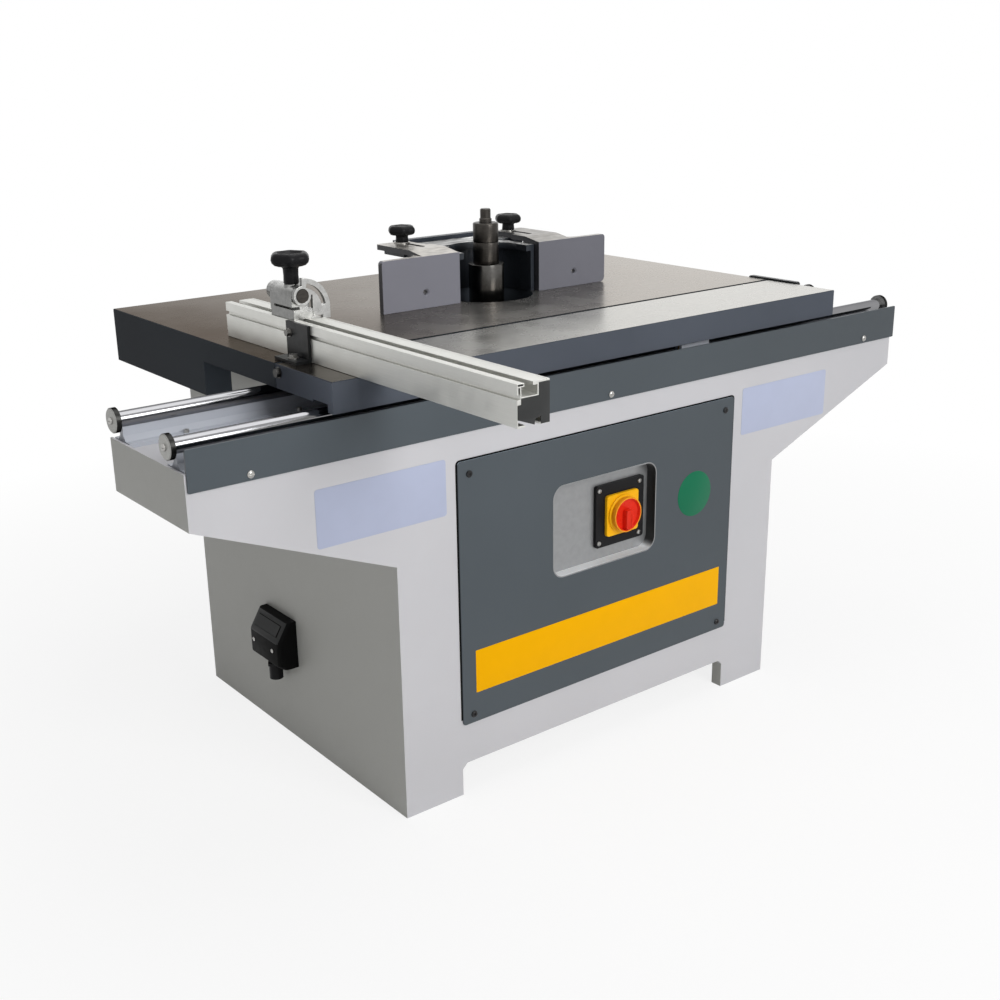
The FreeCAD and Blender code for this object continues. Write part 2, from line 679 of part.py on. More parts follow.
def fence(side):
    """Fence face with a top flange, a web beside the hood and a raised, slotted lug over the hood's ear."""
    plate_back = FENCE_FACE_Y + FENCE_PLATE
    flange_under = FENCE_TOP - FLANGE_THICK
    inner = FENCE_INNER + 1

    def across(offset):
        return SPINDLE_X + side * offset

    def span(a, b, y0, y1, z0, z1):
        low, high = sorted((across(a), across(b)))
        return box(low, high, y0, y1, z0, z1)

    def raised(a, b, back):
        low, high = sorted((across(a), across(b)))
        outline = [(RAMP_FRONT, LUG_UNDER), (RAMP_FRONT, FENCE_TOP), (RAMP_BACK, LUG_TOP), (back, LUG_TOP),
                   (back, LUG_UNDER)]
        return prism_along_x(outline, low, high)

    plate = span(FENCE_INNER, FENCE_OUTER, FENCE_FACE_Y, plate_back, TABLE_TOP + SLIDING, FENCE_TOP)
    plate = round_outer_corner(plate, across(FENCE_OUTER))
    web = span(inner, inner + WEB_THICK, plate_back, FLANGE_BACK, TABLE_TOP + SLIDING, flange_under)
    shelf = span(inner, LUG_OUTER, plate_back, FLANGE_BACK, flange_under, FENCE_TOP)
    curve_end = LUG_OUTER + FLANGE_CURVE
    corner = span(LUG_OUTER, curve_end, plate_back, plate_back + FLANGE_CURVE, flange_under, FENCE_TOP)
    hollow_at = point(across(curve_end), plate_back + FLANGE_CURVE, flange_under)
    corner = corner.cut(rod(FLANGE_CURVE, hollow_at, Z, FLANGE_THICK))
    lug = raised(LUG_INNER, LUG_OUTER, LUG_BACK)
    back_corners = [edge for edge in edges_along(lug, Z) if edge.CenterOfMass.y > LUG_BACK - 1]
    lug = lug.makeFillet(LUG_CORNER, back_corners)
    shoulder = raised(inner, LUG_INNER, SHOULDER_BACK)
    casting = fuse([plate, web, shelf, corner, lug, shoulder])
    stud = across(STUD_X)
    slot = box(stud - SLOT_HALF, stud + SLOT_HALF, SLOT_FRONT, SLOT_BACK, flange_under - 1, KNOB_SEAT)
    hole_at = point(across(FACE_HOLE_X[side]), FENCE_FACE_Y, FACE_HOLE_Z)
    hole = rod(FACE_HOLE_RADIUS, hole_at - Y, Y, FENCE_PLATE + 2)
    sink = Part.makeCone(FACE_HOLE_RADIUS + 3, FACE_HOLE_RADIUS, 3, hole_at, Y)
    return casting.cut([rounded(slot, Z, SLOT_HALF - 0.1), hole, sink])


def clamp_knob(side):
    foot = point(SPINDLE_X + side * STUD_X, STUD_Y, KNOB_SEAT + 0.4)
    stud_foot = point(foot.x, foot.y, HOOD_TOP - HOOD_TOP_THICK + 1)
    stud = rod(STUD_RADIUS, stud_foot, Z, foot.z - stud_foot.z + 2)
    return fuse([lobed_knob(foot, **CLAMP_KNOB), stud])


def clamp_washers():
    washers = []
    for side in (-1, 1):
        seat = point(SPINDLE_X + side * STUD_X, STUD_Y, LUG_TOP + 0.2)
        washers.append(tube(WASHER_RADIUS, STUD_RADIUS + SLIDING, seat, Z, WASHER_THICK))
    return Part.makeCompound(washers)


# Spindle, lift and drive

SHAFT_RADIUS = 15.0
SHOULDER_RADIUS = 24.0
STUB_NECK = 12.2
STUB_RADIUS = 10.4
COLLAR_BOTTOM = 714.0
COLLAR_TOP = 838.0
SPACER_TOP = 880.0
NUT_TOP = 917.0
STUB_TOP = 943.5
PULLEY_BOTTOM = 372.0
PULLEY_TOP = 424.0
DECK_UNDER = 428.0
DECK_TOP = 440.0
QUILL_TOP = 700.0
QUILL_RADIUS = 45.0
BEARING_RADIUS = 31.0
BEARING_HEIGHT = 16.0
LOWER_COLLAR_RADIUS = 35.0
UPPER_COLLAR_RADIUS = 25.0
MOTOR_X = -170.0
MOTOR_TOP = 680.0
MOTOR_RADIUS = 78.0
MOTOR_SHAFT_RADIUS = 14.0
MOTOR_PULLEY_RADIUS = 75.0
SPINDLE_PULLEY_RADIUS = 30.0
BELT_THICK = 3.0
COLUMN_RADIUS = 15.0
COLUMN_OFFSET = 91.5
COLUMN_BOTTOM = 300.0
SCREW_RADIUS = 10.0
GEAR_NEAR = 13.0
GEAR_FAR = 30.0


def spindle_shaft():
    bottom = PULLEY_BOTTOM - 20
    shoulder = COLLAR_BOTTOM - 10
    profile = [(0, bottom), (SHAFT_RADIUS, bottom), (SHAFT_RADIUS, shoulder), (SHOULDER_RADIUS, shoulder),
               (SHOULDER_RADIUS, COLLAR_BOTTOM), (SHAFT_RADIUS, COLLAR_BOTTOM), (SHAFT_RADIUS, NUT_TOP),
               (STUB_NECK, NUT_TOP), (STUB_NECK, NUT_TOP + 7), (STUB_RADIUS, NUT_TOP + 9),
               (STUB_RADIUS, STUB_TOP - 2), (STUB_RADIUS - 1.6, STUB_TOP), (0, STUB_TOP)]
    return turned(profile, point(SPINDLE_X, SPINDLE_Y, 0), Z)


def collar(radius, z0, z1, chamfer):
    bore = SHAFT_RADIUS + RUNNING
    profile = [(bore, z0), (radius, z0), (radius, z1 - chamfer), (radius - chamfer, z1), (bore, z1)]
    return turned(profile, point(SPINDLE_X, SPINDLE_Y, 0), Z)


def lower_collar():
    return collar(LOWER_COLLAR_RADIUS, COLLAR_BOTTOM, COLLAR_TOP, 1)


def spacer_collar():
    return collar(UPPER_COLLAR_RADIUS, COLLAR_TOP, SPACER_TOP, 0.6)


def clamp_nut():
    return collar(UPPER_COLLAR_RADIUS, SPACER_TOP, NUT_TOP, 1.8)


def spindle_pulley():
    return collar(SPINDLE_PULLEY_RADIUS, PULLEY_BOTTOM, PULLEY_TOP, 1)


def lift_carriage():
    """Casting that rises with the spindle: deck, quill tube, bosses on the columns and the screw."""
    deck = box(MOTOR_X - 90, SPINDLE_X + 60, SPINDLE_Y - 90, LIFT_Y + 30, DECK_UNDER, DECK_TOP)
    deck_right = box(SPINDLE_X + 60, SPINDLE_X + 125, SPINDLE_Y - 30, LIFT_Y + 30, DECK_UNDER, DECK_TOP)
    quill = spindle_rod(QUILL_RADIUS, DECK_TOP, QUILL_TOP)
    web = box(SPINDLE_X - 8, SPINDLE_X + 8, SPINDLE_Y, LIFT_Y, DECK_TOP, QUILL_TOP - 20)
    bosses = [rod(25, point(SPINDLE_X + x, LIFT_Y, DECK_TOP), Z, QUILL_TOP - DECK_TOP - 20)
              for x in (-COLUMN_OFFSET, 0, COLUMN_OFFSET)]
    plate = box(SPINDLE_X - COLUMN_OFFSET, SPINDLE_X + COLUMN_OFFSET, LIFT_Y - 8, LIFT_Y + 8,
                DECK_TOP, QUILL_TOP - 20)
    casting = fuse([deck, deck_right, quill, web, plate] + bosses)
    low = DECK_UNDER - 1
    tall = QUILL_TOP - low + 1
    bores = [rod(COLUMN_RADIUS + RUNNING, point(SPINDLE_X + x, LIFT_Y, low), Z, tall)
             for x in (-COLUMN_OFFSET, COLUMN_OFFSET)]
    bores.append(rod(SCREW_RADIUS + RUNNING, point(SPINDLE_X, LIFT_Y, low), Z, tall))
    bores.append(rod(MOTOR_SHAFT_RADIUS + 4, point(MOTOR_X, SPINDLE_Y, low), Z, DECK_TOP - low + 1))
    bores.append(spindle_rod(SHAFT_RADIUS + 3, low, QUILL_TOP + 1))
    for base in (DECK_TOP + 10, QUILL_TOP - BEARING_HEIGHT):
        bores.append(spindle_rod(BEARING_RADIUS, base, base + BEARING_HEIGHT))
    return casting.cut(bores)


def spindle_bearings():
    rings = []
    for base in (DECK_TOP + 10, QUILL_TOP - BEARING_HEIGHT):
        start = point(SPINDLE_X, SPINDLE_Y, base)
        rings.append(tube(BEARING_RADIUS - 0.02, SHAFT_RADIUS + RUNNING, start, Z, BEARING_HEIGHT))
    return Part.makeCompound(rings)


def motor():
    foot = rod(MOTOR_RADIUS + 10, point(MOTOR_X, SPINDLE_Y, DECK_TOP), Z, 12)
    shell = rod(MOTOR_RADIUS, point(MOTOR_X, SPINDLE_Y, DECK_TOP), Z, MOTOR_TOP - DECK_TOP)
    cowl = rod(MOTOR_RADIUS - 4, point(MOTOR_X, SPINDLE_Y, MOTOR_TOP), Z, 20)
    bore = rod(MOTOR_SHAFT_RADIUS + RUNNING, point(MOTOR_X, SPINDLE_Y, DECK_TOP - 1), Z, 101)
    return fuse([foot, shell, cowl]).cut(bore)


def motor_shaft():
    return rod(MOTOR_SHAFT_RADIUS, point(MOTOR_X, SPINDLE_Y, PULLEY_BOTTOM), Z, DECK_TOP + 95 - PULLEY_BOTTOM)


def motor_pulley():
    start = point(MOTOR_X, SPINDLE_Y, PULLEY_BOTTOM)
    return tube(MOTOR_PULLEY_RADIUS, MOTOR_SHAFT_RADIUS + 0.02, start, Z, PULLEY_TOP - PULLEY_BOTTOM)


def belt_loop(gap, z):
    """Wire round both pulleys at a gap, as two tangents and two arcs."""
    big = MOTOR_PULLEY_RADIUS + gap
    small = SPINDLE_PULLEY_RADIUS + gap
    lean = math.acos((big - small) / (SPINDLE_X - MOTOR_X))

    def on(x, radius, angle):
        return point(x + radius * math.cos(angle), SPINDLE_Y + radius * math.sin(angle), z)

    big_top = on(MOTOR_X, big, lean)
    big_low = on(MOTOR_X, big, -lean)
    small_top = on(SPINDLE_X, small, lean)
    small_low = on(SPINDLE_X, small, -lean)
    edges = [Part.Arc(big_top, on(MOTOR_X, big, math.pi), big_low).toShape(),
             Part.LineSegment(big_low, small_low).toShape(),
             Part.Arc(small_low, on(SPINDLE_X, small, 0), small_top).toShape(),
             Part.LineSegment(small_top, big_top).toShape()]
    return Part.Face(Part.Wire(edges))


def drive_belt():
    low = PULLEY_BOTTOM + 6
    height = PULLEY_TOP - 6 - low
    outer = belt_loop(0.35 + BELT_THICK, low).extrude(Z * height)
    return outer.cut(belt_loop(0.35, low).extrude(Z * height))


def guide_columns():
    return Part.makeCompound([rod(COLUMN_RADIUS, point(SPINDLE_X + x, LIFT_Y, COLUMN_BOTTOM), Z,
                                  TABLE_UNDER - COLUMN_BOTTOM) for x in (-COLUMN_OFFSET, COLUMN_OFFSET)])


def screw_plate():
    """Cross plate under the columns that carries the lift screw and the wheel shaft."""
    reach = COLUMN_OFFSET + 25
    plate = box(SPINDLE_X - reach, SPINDLE_X + reach, LIFT_Y - 25, LIFT_Y + 25,
                COLUMN_BOTTOM - 16, COLUMN_BOTTOM)
    hanger_x = SPINDLE_X + 60
    hanger = box(hanger_x, hanger_x + 16, LIFT_Y - 20, LIFT_Y + 20, WHEEL_SHAFT_Z - 20, COLUMN_BOTTOM - 16)
    frame = fuse([plate, hanger])
    screw_hole = rod(SCREW_RADIUS + RUNNING, point(SPINDLE_X, LIFT_Y, COLUMN_BOTTOM - 17), Z, 18)
    shaft_hole = rod(WHEEL_SHAFT_RADIUS + RUNNING, point(hanger_x - 1, LIFT_Y, WHEEL_SHAFT_Z), X, 18)
    return frame.cut([screw_hole, shaft_hole])


def mitre_gear(axis):
    """Plain cone with its tip where the two gear axes cross."""
    tip = point(SPINDLE_X, LIFT_Y, WHEEL_SHAFT_Z)
    profile = [(0, GEAR_NEAR), (GEAR_NEAR - 0.6, GEAR_NEAR), (GEAR_FAR - 0.6, GEAR_FAR), (16, GEAR_FAR + 6),
               (0, GEAR_FAR + 6)]
    return turned(profile, tip, axis)


def lift_screw():
    bottom = WHEEL_SHAFT_Z + GEAR_FAR
    screw = rod(SCREW_RADIUS, point(SPINDLE_X, LIFT_Y, bottom), Z, TABLE_UNDER - 5 - bottom)
    return fuse([mitre_gear(Z), screw])


WHEEL_SHAFT_END = CABINET_RIGHT + 46
WHEEL_X = CABINET_RIGHT + 12
WHEEL_RADIUS = 90.0
WHEEL_RIM = 10.0


def handwheel_shaft():
    start = SPINDLE_X + GEAR_FAR
    shaft = rod(WHEEL_SHAFT_RADIUS, point(start, LIFT_Y, WHEEL_SHAFT_Z), X, WHEEL_SHAFT_END - start)
    return fuse([mitre_gear(X), shaft])


def shaft_bush():
    start = point(CABINET_RIGHT - SHEET - 6, LIFT_Y, WHEEL_SHAFT_Z)
    body = rod(BUSH_RADIUS - 0.02, start, X, SHEET + 6)
    flange = rod(BUSH_RADIUS + 7, point(CABINET_RIGHT, LIFT_Y, WHEEL_SHAFT_Z), X, 6)
    bore = rod(WHEEL_SHAFT_RADIUS + RUNNING, start - X, X, SHEET + 20)
    return fuse([body, flange]).cut(bore)


def handwheel():
    """Dished wheel: hub, solid web and a round rim."""
    centre = point(WHEEL_X, LIFT_Y, WHEEL_SHAFT_Z)
    bore = WHEEL_SHAFT_RADIUS + 0.02
    hub = turned([(bore, 0), (20, 0), (20, 34), (bore, 34)], centre, X)
    web = turned([(18, 6), (WHEEL_RADIUS, 14), (WHEEL_RADIUS, 22), (18, 16)], centre, X)
    rim = Part.makeTorus(WHEEL_RADIUS, WHEEL_RIM, centre + X * 18, X)
    return fuse([hub, web, rim])


def wheel_handle():
    foot = point(WHEEL_X + 18 + WHEEL_RIM - 1.5, LIFT_Y, WHEEL_SHAFT_Z + WHEEL_RADIUS)
    profile = [(0, 0), (7, 0), (7, 8), (11, 14), (12.5, 40), (10, 62), (5, 66), (0, 66)]
    grip = turned(profile, foot, X)
    return grip.cut(Part.makeTorus(WHEEL_RADIUS, WHEEL_RIM, point(WHEEL_X + 18, LIFT_Y, WHEEL_SHAFT_Z), X))


# Sliding table and its saddles

APRON_BOTTOM = 726.5
APRON_THICK = 16.0
RAIL_RELIEF = 3.5
SADDLE_X = (-182.5, 232.0)
SADDLE_HALF = 36.0
SADDLE_REACH = 20.0
SADDLE_BOTTOM = 703.0
SADDLE_LOW_TOP = 734.5
BRIDGE_BOTTOM = 712.0
BUSH_OUTER = 14.5
SUPPORT_SLOT = 10.0


def sliding_table():
    top = box(TABLE_LEFT, SLIDING_RIGHT, SLIDING_FRONT, SLIDING_BACK, TABLE_UNDER, TABLE_TOP)
    apron = box(TABLE_LEFT, SLIDING_RIGHT, SLIDING_FRONT, SLIDING_FRONT + APRON_THICK,
                APRON_BOTTOM, TABLE_UNDER)
    casting = softened(fuse([top, apron]), TABLE_TOP, TABLE_EDGE)
    hollows = pockets(TABLE_LEFT + 15, SLIDING_RIGHT - 15, [(74, 160)], 160, 20, 0)
    relief = box(TABLE_LEFT - 1, SLIDING_RIGHT + 1, SLIDING_FRONT + APRON_THICK,
                 FRONT_RAIL_Y + SADDLE_REACH + 1, TABLE_UNDER - 1, TABLE_UNDER + RAIL_RELIEF)
    return casting.cut(hollows + [relief])


def saddle(x):
    left = x - SADDLE_HALF
    right = x + SADDLE_HALF
    front = FRONT_RAIL_Y - SADDLE_REACH
    middle = FRONT_RAIL_Y + SADDLE_REACH
    blocks = [box(left, right, front, middle, SADDLE_BOTTOM, TABLE_UNDER + RAIL_RELIEF),
              box(left, right, middle, SLIDING_BACK, BRIDGE_BOTTOM, TABLE_UNDER),
              box(left, right, SLIDING_BACK, REAR_RAIL_Y - 25, BRIDGE_BOTTOM, SADDLE_LOW_TOP),
              box(left, right, REAR_RAIL_Y - 25, REAR_RAIL_Y + 25, SADDLE_BOTTOM, SADDLE_LOW_TOP)]
    body = fuse(blocks)
    for rail_y in (FRONT_RAIL_Y, REAR_RAIL_Y):
        body = body.cut(rail_rod(rail_y, BUSH_OUTER + 0.05))
        body = body.cut(box(left, right, rail_y - SUPPORT_SLOT, rail_y + SUPPORT_SLOT,
                            SADDLE_BOTTOM - 1, RAIL_Z - 5))
    return body


def saddles():
    return Part.makeCompound([saddle(x) for x in SADDLE_X])


def rail_bushes():
    bushes = []
    for x in SADDLE_X:
        for rail_y in (FRONT_RAIL_Y, REAR_RAIL_Y):
            start = point(x - SADDLE_HALF, rail_y, RAIL_Z)
            bush = tube(BUSH_OUTER, RAIL_RADIUS + RUNNING, start, X, 2 * SADDLE_HALF)
            bushes.append(bush.cut(box(start.x, start.x + 2 * SADDLE_HALF, rail_y - SUPPORT_SLOT,
                                       rail_y + SUPPORT_SLOT, RAIL_Z - 2 * BUSH_OUTER, RAIL_Z - 5)))
    return Part.makeCompound(bushes)


# Crosscut fence, its bracket and the flip stop

BRACKET_FRONT = 136.0
BRACKET_BACK = 202.0
BRACKET_THICK = 5.0
BRACKET_FOOT = 29.0
GROOVE_Z = 817.0
GROOVE_HALF = 3.0
GROOVE_DEPTH = 5.2
SLOT_LEFT = -498.7
SLOT_RIGHT = -484.6
CHAMBER = (-503.6, -477.0, 817.0, 830.0)
LIP_CHAMBER = (-509.2, -500.2, 831.4, 833.8)
SIDE_CHAMBER = (-508.4, -505.7, 821.0, 829.4)
BAR_SKIN = 1.2
BAR_FLANGE = 3.0
CAVITY_TOP = 807.0
WEB_LEFT = -504.0
WEB_TOP = 815.2
COLUMN_LEFT = -474.5
COLUMN_TOP = 832.0
BOTTOM_SLOT = (-497.7, -473.7)
TOP_LINE = (-462.2, -461.0, 834.2)


def crosscut_bracket():
    leg_right = BAR_LEFT - SLIDING
    leg_left = leg_right - BRACKET_THICK
    leg = box(leg_left, leg_right, BRACKET_FRONT, BRACKET_BACK, TABLE_TOP, BAR_TOP)
    foot = box(leg_left - BRACKET_FOOT + BRACKET_THICK, leg_right, BRACKET_FRONT, SLIDING_BACK,
               TABLE_TOP, TABLE_TOP + BRACKET_THICK)
    overhang = box(leg_left - BRACKET_FOOT + BRACKET_THICK, leg_right, SLIDING_BACK, BRACKET_BACK,
                   TABLE_TOP + 0.5, TABLE_TOP + BRACKET_THICK)
    raised = box(leg_left - 1, leg_right + 1, SLIDING_BACK, BRACKET_BACK + 1, TABLE_TOP - 1, TABLE_TOP + 0.5)
    return fuse([leg, foot, overhang]).cut(raised)


def bracket_bolts():
    leg_left = BAR_LEFT - SLIDING - BRACKET_THICK
    foot_bolt = hex_bolt(point(leg_left - 11, 165, TABLE_TOP + BRACKET_THICK), Z)
    groove_bolt = hex_bolt(point(leg_left, 192, GROOVE_Z), -X, 10, 7)
    end_bolt = hex_bolt(point(TABLE_LEFT, 163, 763), -X)
    return Part.makeCompound([foot_bolt, groove_bolt, end_bolt])


def crosscut_fence():
    """Hollow aluminium extrusion with a T-slot on top and a groove along its left side."""
    bar = box(BAR_LEFT, BAR_RIGHT, BAR_FRONT, BAR_BACK, BAR_BOTTOM, BAR_TOP)
    ends = (BAR_FRONT - 1, BAR_BACK + 1)
    inner_left = BAR_LEFT + BAR_SKIN
    inner_right = BAR_RIGHT - BAR_SKIN
    floor = BAR_BOTTOM + BAR_FLANGE
    cuts = [box(left, right, *ends, bottom, top)
            for left, right, bottom, top in (CHAMBER, LIP_CHAMBER, SIDE_CHAMBER)]
    cuts += [box(SLOT_LEFT, SLOT_RIGHT, *ends, CHAMBER[3] - 1, BAR_TOP + 1),
             box(BAR_LEFT - 1, BAR_LEFT + GROOVE_DEPTH, *ends,
                 GROOVE_Z - GROOVE_HALF, GROOVE_Z + GROOVE_HALF),
             box(inner_left, inner_right, *ends, floor, CAVITY_TOP),
             box(WEB_LEFT, inner_right, *ends, floor, WEB_TOP),
             box(COLUMN_LEFT, inner_right, *ends, floor, COLUMN_TOP),
             box(*BOTTOM_SLOT, *ends, BAR_BOTTOM - 1, floor + 1),
             box(TOP_LINE[0], TOP_LINE[1], *ends, TOP_LINE[2], BAR_TOP + 1)]
    return bar.cut(cuts)


STOP_FRONT = 195.0
STOP_BACK = 264.0
STOP_TAIL = 13.0
STOP_X = -491.0
STOP_HALF = 16.0
STOP_KNOB_Y = 220.0
FOOT_FRONT = 188.0
FOOT_RIGHT = -473.6
FOOT_TOP = 851.0
PIN_Z = 872.0
PIN_RADIUS = 6.0
PIN_HEAD = 11.0
PIN_DEEP = 17.0
BODY_TOP = 888.0
ARM_THICK = 8.0
ARM_Z = 850.0
ARM_RADIUS = 50.0
ARM_LEFT = -473.0
ARM_UNDER = 838.0
NOSE_LEFT = -456.0
NOSE_UNDER = 832.0
ARM_SLOT = (41.5, 34.5)
KNOB_PAD = 12.5
STOP_KNOB = {"radius": 33.0, "neck": 12.5, "neck_height": 27.2, "head_height": 23.0}


def stop_body():
    """Clamp block on the fence's top: foot with a T-head in the slot, saw cut, round barrel."""
    seat = BAR_TOP + SLIDING
    foot = box(STOP_X - STOP_HALF - 1, FOOT_RIGHT, FOOT_FRONT, STOP_BACK - 3, seat, FOOT_TOP)
    block = box(STOP_X - STOP_HALF, STOP_X + STOP_HALF, STOP_FRONT, STOP_BACK, FOOT_TOP - 6, PIN_Z)
    barrel = rod(STOP_HALF, point(STOP_X, STOP_FRONT, PIN_Z), Y, STOP_BACK - STOP_FRONT)
    tail = rod(STOP_HALF - 1, point(STOP_X, STOP_BACK, PIN_Z), Y, STOP_TAIL)
    pad = rod(KNOB_PAD, point(STOP_X, STOP_KNOB_Y, PIN_Z), Z, BODY_TOP - PIN_Z)
    inset = (FOOT_FRONT + 8, STOP_BACK - 8)
    left, right, bottom, top = CHAMBER
    neck = box(SLOT_LEFT + 1, SLOT_RIGHT - 1, *inset, top - 4, seat + 1)
    head = box(left + 1.5, right - 1.5, *inset, bottom + 1, top - 1.5)
    body = fuse([foot, block, barrel, tail, pad, neck, head])
    saw_cut = box(STOP_X - 20, STOP_X - 2, FOOT_FRONT - 1, STOP_BACK - 12, FOOT_TOP, FOOT_TOP + 3.5)
    pin_hole = rod(PIN_RADIUS + 0.02, point(STOP_X, STOP_FRONT - 1, PIN_Z), Y, PIN_DEEP + 2)
    stud_hole = rod(STUD_RADIUS + RUNNING, point(STOP_X, STOP_KNOB_Y, PIN_Z + 4), Z, BODY_TOP - PIN_Z)
    return body.cut([saw_cut, pin_hole, stud_hole])


def stop_pin():
    """Pivot pin, its flat head let into the arm's hub."""
    arm_front = STOP_FRONT - ARM_THICK
    shank = rod(PIN_RADIUS, point(STOP_X, arm_front, PIN_Z), Y, ARM_THICK + PIN_DEEP)
    head = rod(PIN_HEAD, point(STOP_X, arm_front - 1, PIN_Z), Y, 4)
    return fuse([shank, head])


def stop_arm():
    """Quarter-round arm with a curved slot and a nose past the fence's working side."""
    front = STOP_FRONT - ARM_THICK
    deep = ARM_THICK - SLIDING
    back = front + deep
    centre = point(STOP_X, front, ARM_Z)
    right = STOP_X + ARM_RADIUS
    corner = box(STOP_X, right, front, back, ARM_Z, ARM_Z + ARM_RADIUS)
    quarter = rod(ARM_RADIUS, centre, Y, deep).common(corner)
    quarter = quarter.cut(box(STOP_X, ARM_LEFT, front, back, ARM_Z, PIN_Z))
    hub = rod(STOP_HALF, point(STOP_X, front, PIN_Z), Y, deep)
    apron = box(ARM_LEFT, right, front, back, ARM_UNDER, ARM_Z)
    nose = box(NOSE_LEFT, right, front, back, NOSE_UNDER, ARM_UNDER)
    arm = fuse([quarter, hub, apron, nose])
    low = centre - Y
    ring = tube(*ARM_SLOT, low, Y, deep + 2)
    fan = [low, low + point(60, 0, 8), low + point(60, 0, 60), low + point(13, 0, 60)]
    wedge = prism(fan, Y * (deep + 2))
    pin_hole = rod(PIN_RADIUS + RUNNING, point(STOP_X, front - 1, PIN_Z), Y, deep + 2)
    head_seat = rod(PIN_HEAD + RUNNING, point(STOP_X, front - 1, PIN_Z), Y, 4 + SLIDING)
    return arm.cut([ring.common(wedge), pin_hole, head_seat])


def stop_knob():
    foot = point(STOP_X, STOP_KNOB_Y, BODY_TOP + 0.4)
    stud_foot = point(STOP_X, STOP_KNOB_Y, PIN_Z + 5)
    stud = rod(STUD_RADIUS, stud_foot, Z, foot.z - stud_foot.z + 2)
    return fuse([lobed_knob(foot, **STOP_KNOB), stud])


NODES = {
    "front_sheet": front_sheet,
    "left_sheet": left_sheet,
    "right_sheet": right_sheet,
    "back_sheet": back_sheet,
    "left_wing": lambda: wing(WING_LEFT, CABINET_LEFT),
    "right_wing": lambda: wing(WING_RIGHT, CABINET_RIGHT),
    "rail_bed": rail_bed,
    "rail_guard": rail_guard,
    "rail_supports": rail_supports,
    "support_screws": support_screws,
    "rails": rails,
    "rail_caps": rail_caps,
    "pan_screws": pan_screws,
    "front_panel": front_panel,
    "panel_screws": panel_screws,
    "recess_box": recess_box,
    "switch_plate": switch_plate,
    "switch_surround": switch_surround,
    "switch_handle": switch_handle,
    "switch_body": switch_body,
    "inlet_box": inlet_box,
    "cable_gland": cable_gland,
    "fixed_table": fixed_table,
    "table_end_stop": table_end_stop,
    "hex_bolts": hex_bolts,
    "hood": hood,
    "tie_bar": tie_bar,
    "left_fence": lambda: fence(-1),
    "right_fence": lambda: fence(1),
    "left_clamp_knob": lambda: clamp_knob(-1),
    "right_clamp_knob": lambda: clamp_knob(1),
    "clamp_washers": clamp_washers,
    "spindle_shaft": spindle_shaft,
    "lower_collar": lower_collar,
    "spacer_collar": spacer_collar,
    "clamp_nut": clamp_nut,
    "spindle_pulley": spindle_pulley,
    "lift_carriage": lift_carriage,
    "spindle_bearings": spindle_bearings,
    "motor": motor,
    "motor_shaft": motor_shaft,
    "motor_pulley": motor_pulley,
    "drive_belt": drive_belt,
    "guide_columns": guide_columns,
    "screw_plate": screw_plate,
    "lift_screw": lift_screw,
    "handwheel_shaft": handwheel_shaft,
    "shaft_bush": shaft_bush,
    "handwheel": handwheel,
    "wheel_handle": wheel_handle,
    "sliding_table": sliding_table,
    "saddles": saddles,
    "rail_bushes": rail_bushes,
    "crosscut_bracket": crosscut_bracket,
    "bracket_bolts": bracket_bolts,
    "crosscut_fence": crosscut_fence,
    "stop_body": stop_body,
    "stop_pin": stop_pin,
    "stop_arm": stop_arm,
    "stop_knob": stop_knob,
}


def main():
    os.makedirs("parts", exist_ok=True)
    for name, make in NODES.items():
        shape = make()
        shape.translate(point(0, -MIDDLE_Y, 0))
        shape.exportStep("parts/" + name + ".step")
        print(name, "solids", len(shape.Solids), "valid", shape.isValid(), "volume", round(shape.Volume))


main()
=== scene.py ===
import math
import bmesh
import bpy
from mathutils import Euler, Matrix, Vector


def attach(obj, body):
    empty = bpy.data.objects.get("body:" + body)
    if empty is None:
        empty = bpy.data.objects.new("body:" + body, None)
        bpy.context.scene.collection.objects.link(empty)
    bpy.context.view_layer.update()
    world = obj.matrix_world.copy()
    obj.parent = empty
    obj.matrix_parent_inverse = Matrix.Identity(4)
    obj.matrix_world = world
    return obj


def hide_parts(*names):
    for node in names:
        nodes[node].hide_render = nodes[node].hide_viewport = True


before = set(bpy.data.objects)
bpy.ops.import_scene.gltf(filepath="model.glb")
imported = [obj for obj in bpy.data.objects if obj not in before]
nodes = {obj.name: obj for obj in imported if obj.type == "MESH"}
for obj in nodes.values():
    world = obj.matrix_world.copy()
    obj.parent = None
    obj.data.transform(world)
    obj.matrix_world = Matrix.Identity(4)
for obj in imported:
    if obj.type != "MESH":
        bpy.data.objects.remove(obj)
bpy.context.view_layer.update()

scene = bpy.context.scene
midDepth = 0.2155  # the cabinet's front face lies this far in front of the row frame's middle
print("stage: frame loaded, nodes", len(nodes))


def place(x, depth, z):
    # millimetres from the cabinet's front face to metres in the row frame
    return Vector((x / 1000, depth / 1000 - midDepth, z / 1000))


# camera, lamps, floor and backdrop

cameraLook = {"lens": 47.55, "heading": -37.70, "tilt": 71.11, "roll": -0.936,
              "shift": (0.00975, 0.0035), "spot": (-1.53396, -1.85398, 1.23329)}


def makeCamera(look):
    data = bpy.data.cameras.new("photoCamera")
    data.lens = look["lens"]
    data.sensor_width = 36
    data.shift_x, data.shift_y = look["shift"]
    data.clip_end = 60
    camera = bpy.data.objects.new("photoCamera", data)
    turn = Euler((math.radians(look["tilt"]), 0, math.radians(look["heading"]))).to_matrix()
    roll = Matrix.Rotation(math.radians(look["roll"]), 3, "Z")
    camera.matrix_world = Matrix.Translation(look["spot"]) @ (turn @ roll).to_4x4()
    scene.collection.objects.link(camera)
    scene.camera = camera


